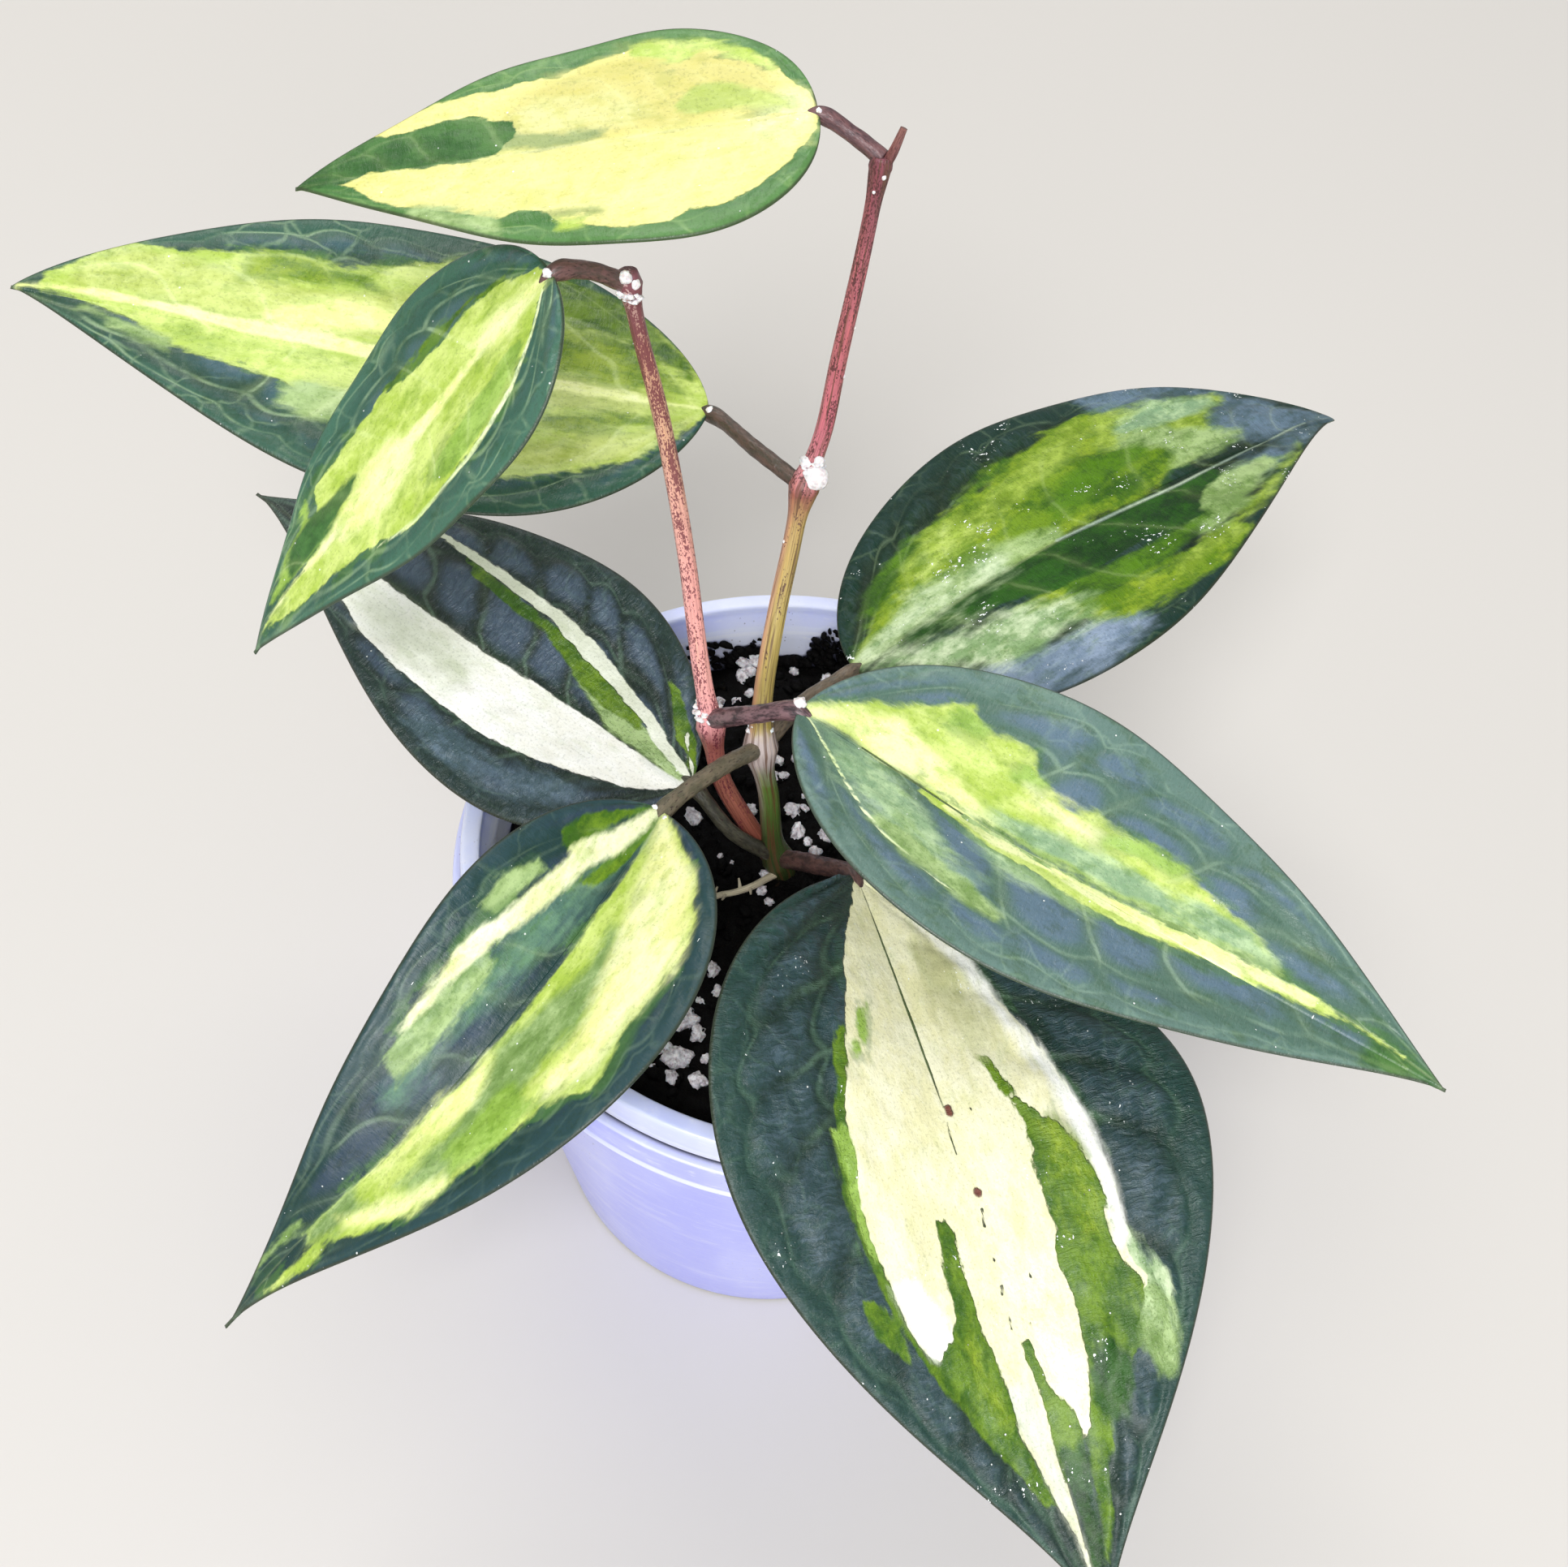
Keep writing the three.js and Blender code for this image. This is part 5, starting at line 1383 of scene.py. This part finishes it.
def relief(leaf, s, veins, fields, lumps):
    """How far the upper face stands above its even surface: sunken veins, puffed fields."""
    to_rib, to_collector, to_outer, run, away = veins
    spacing = leaf["length"] / leaf["veins"]
    phase = run / spacing
    to_lateral = np.abs(phase - np.round(phase)) * spacing
    depth = 0.05 + 0.2 * leaf["puff"]
    rib_depth, rib_reach = BLADE["rib_groove"]
    sunk = rib_depth * (1 - 0.75 * s) * bell(to_rib, rib_reach)
    for distance in (to_lateral, to_collector, to_outer):
        sunk = sunk + depth * bell(distance, BLADE["vein_groove_reach"])
    calm = 0.3 + 0.7 * np.clip((away - 0.22) / 0.2, 0, 1)
    lumpy = 0.6 * leaf["puff"] + (0.3 + 0.8 * leaf["puff"]) * lumps
    return calm * (fields * lumpy - sunk)


def band_depth(band, s, t, width, length):
    """How deep places lie inside a band, in mm, and negative outside it."""
    along, lower, upper = np.array(band).T / 100
    inside = np.minimum(t - np.interp(s, along, lower), np.interp(s, along, upper) - t)
    ends = np.minimum(s - along[0], along[-1] - s) * length
    return np.clip(np.minimum(inside * width, ends), -9, 9)


def crowded(count, crowding):
    """Shares from 0 to 1 that crowd towards both ends."""
    even = np.linspace(0, 1, count + 1)
    return even - crowding * np.sin(TURN * even) / TURN


def blade_mesh(leaf):
    """The blade as a closed plate: points, faces and the values that its shader reads."""
    rows, half = LEAF_GRID["rows"], LEAF_GRID["half_columns"]
    across = crowded(half, LEAF_GRID["crowding"])
    across = np.concatenate([-across[:0:-1], across])
    share = 0.5 - 0.5 * np.cos(np.linspace(0, math.pi, rows + 1))
    s, t = np.meshgrid(share, across, indexing="ij")
    width = blade_width(leaf, s, t)
    middle = blade_middle(leaf, s, t)
    normal = np.cross(np.gradient(middle, axis=0), np.gradient(middle, axis=1))
    normal /= np.linalg.norm(normal, axis=-1)[..., None] + 1e-12
    margin = np.minimum((1 - np.abs(t)) * width, np.minimum(s, 1 - s) * leaf["length"])
    rim = np.clip(margin / BLADE["rim"], 0, 1)
    half_thick = BLADE["thickness"] / 2 * np.sqrt(1 - (1 - rim) ** 2)
    veins = vein_fields(leaf, s, t)
    fields = fields_between(leaf, t, veins)
    raised = relief(leaf, s, veins, fields, uneven(leaf, s, t, width)) * rim
    (keel_height, keel_reach), (ridge, ridge_reach) = BLADE["keel"], BLADE["under_vein"]
    keel = keel_height * bell(veins[0], keel_reach) * (1 - s) + ridge * bell(veins[1], ridge_reach)
    keel = keel - BLADE["hollow"] * leaf["puff"] * fields
    top = middle + normal * (half_thick + raised)[..., None]
    under = middle - normal * (half_thick + keel * rim)[..., None]

    border = np.zeros(s.shape, dtype=bool)
    border[0], border[-1], border[:, 0], border[:, -1] = True, True, True, True
    top_index = np.arange(s.size).reshape(s.shape)
    under_index = top_index.copy()
    under_index[~border] = s.size + np.arange((~border).sum())
    points = np.vstack([top.reshape(-1, 3), under[~border]])
    quads = []
    for index, turned in ((top_index, False), (under_index, True)):
        a, b = index[:-1, :-1], index[1:, :-1]
        c, d = index[1:, 1:], index[:-1, 1:]
        ring = (a, d, c, b) if turned else (a, b, c, d)
        quads.append(np.stack(ring, -1).reshape(-1, 4))
    faces = [tuple(face) for face in np.vstack(quads).tolist()]

    def both(field):
        return np.concatenate([field.reshape(-1, *field.shape[2:]), field[~border]])

    seed = leaf["length"] + leaf["heading"]
    place = np.stack([s * leaf["length"], t * width, np.full(s.shape, seed)], -1)
    values = {
        "place": both(place),
        "veins": both(np.stack([veins[0], veins[1], veins[3]], -1)),
        "zone": both(np.stack([veins[4], veins[2], fields], -1)),
        "edge": both(margin),
        "under": np.concatenate([np.zeros(s.size), np.ones((~border).sum())]),
    }
    for index, (_, _, *bands) in enumerate(leaf["layers"]):
        depths = [band_depth(band, s, t, width, leaf["length"]) for band in bands]
        values[f"layer_{index}"] = both(np.max(depths, axis=0))
    return points, faces, values


def stalk_mesh(leaf):
    """The stalk from its stem into the blade's base, swollen under it and then tapering."""
    along, _, up = joint_frame(leaf)
    joint = np.array(leaf["base"]) - 0.4 * up
    ends = [*leaf["stalk"], joint, joint + STALK["taper"] * along - 0.5 * up]
    path = smooth_path(ends, STALK["rows"])
    first, last = leaf["stalk_radii"]
    swell, before_end, swell_reach = STALK["swelling"]
    reach = distances(path)[-1]

    def radius(share, place, walked, angles):
        left = reach - walked
        plain = first + (last - first) * share + swell * bell(left - before_end, swell_reach)
        thinnest = STALK["thinnest"]
        plain *= min(1, thinnest + (1 - thinnest) * left / STALK["taper"])
        folds = np.sin(6 * angles + 0.5 * walked) + np.sin(2.1 * walked + 2 * angles)
        return plain * (1 + 0.02 * folds)

    return tube(path, radius, STALK["sides"])


def make_leaf(leaf):
    points, faces, values = blade_mesh(leaf)
    stalk_points, stalk_faces, turn, lengths = stalk_mesh(leaf)
    kinds = [0] * len(faces) + [1] * len(stalk_faces)
    count = len(stalk_points)
    extra = {label: np.zeros((count, *data.shape[1:])) for label, data in values.items()}
    extra["place"] = skin_place(turn, lengths)
    values = {label: np.concatenate([data, extra[label]]) for label, data in values.items()}
    points, faces = join_parts([(points, faces), (stalk_points, stalk_faces)])
    make_piece(leaf["name"] + "_blade", points, faces, [leaf_material(leaf), stalk_material(leaf)],
               leaf["slot"], node=leaf["name"], values=values, face_material=kinds)


# ------------------------------------------------------------------ dried sap


def stem_spot(key, height, angle):
    """A place on a stem's skin, and the direction outwards there."""
    rows = 300
    path = smooth_path(STEMS[key]["path"], rows)
    row = int(np.abs(path[:, 2] - height).argmin())
    radius = stem_radius(STEMS[key])(row / (rows - 1), path[row], 0, np.zeros(1))[0]
    outward = np.array([*on_circle(1, math.radians(angle)), 0])
    return path[row] + outward * radius, outward


def make_sap():
    template = ball(3)
    parts = []
    for index, (key, height, angle, radius) in enumerate(STEM_DROPS):
        place, outward = stem_spot(key, height, angle)
        points, faces = lump(template, radius, (1, 1, 1.15), 0.18, 300 + index)
        parts.append((points + place - outward * 0.25 * radius, faces))
    for index, (leaf, ahead, aside, radius) in enumerate(JOINT_DROPS):
        along, across, up = joint_frame(leaf)
        points, faces = lump(template, radius, (1, 1, 0.8), 0.35, 340 + index)
        place = np.array(leaf["base"]) + along * ahead + across * aside + up * 0.75
        parts.append((points + place, faces))
    small = ball(2)
    for crust, (key, height, first, last) in enumerate(STEM_CRUSTS):
        for index, angle in enumerate(np.arange(first, last, CRUST_STEP)):
            wobble = 0.6 * math.sin(0.09 * angle * (crust + 2))
            place, outward = stem_spot(key, height + wobble, angle)
            size = 0.36 + 0.14 * math.sin(3.7 * index + crust)
            points, faces = lump(small, size, (1.3, 1.3, 0.7), 0.5, 400 + 40 * crust + index)
            parts.append((points + place, faces))
    make_piece("dried_sap_drops", *join_parts(parts), [latex_material()], "latex")


# ------------------------------------------------------------------ stage


def add_camera():
    data = bpy.data.cameras.new("view")
    data.sensor_fit = "HORIZONTAL"
    data.lens = data.sensor_width * CAMERA["focal"] / CAMERA["picture_width"]
    data.clip_start, data.clip_end = 0.01, 20
    camera = add_object("view", data)
    turn = Matrix.Rotation(math.radians(CAMERA["heading"]), 4, "Z")
    look = Matrix.Rotation(math.radians(90 - CAMERA["down"]), 4, "X")
    tilt = Matrix.Rotation(math.radians(CAMERA["tilt"]), 4, "Z")
    camera.matrix_world = Matrix.Translation(Vector(CAMERA["place"]) * MM) @ turn @ look @ tilt
    bpy.context.scene.camera = camera


def add_light(name, place, target, size, power, colour):
    data = bpy.data.lights.new(name, "AREA")
    data.shape, data.size, data.energy, data.color = "DISK", size, power, colour
    light = add_object(name, data)
    light.location = place
    aim = Vector(target) - Vector(place)
    light.rotation_euler = aim.to_track_quat("-Z", "Y").to_euler()


def add_stage():
    shader = Shader("floor_paint", Specular_IOR_Level=0.2)
    mesh = bpy.data.meshes.new("floor")
    reach = FLOOR_REACH
    corners = [(-reach, -reach, 0), (reach, -reach, 0), (reach, reach, 0), (-reach, reach, 0)]
    mesh.from_pydata(corners, [], [(0, 1, 2, 3)])
    mesh.materials.append(shader.finish(tone("#cbc7c1"), 0.9))
    add_object("floor", mesh)

    world = bpy.data.worlds.new("studio")
    world.use_nodes = True
    background = world.node_tree.nodes["Background"]
    background.inputs["Color"].default_value = SKY["colour"]
    background.inputs["Strength"].default_value = SKY["strength"]
    bpy.context.scene.world = world
    for light in LIGHTS:
        add_light(*light)
    bpy.context.scene.view_settings.view_transform = "Standard"


# ------------------------------------------------------------------ the potted plant

add_camera()
make_outer_pot()
make_liner()
make_soil()
make_stems()
for each_leaf in LEAVES:
    make_leaf(each_leaf)
make_sap()
add_stage()
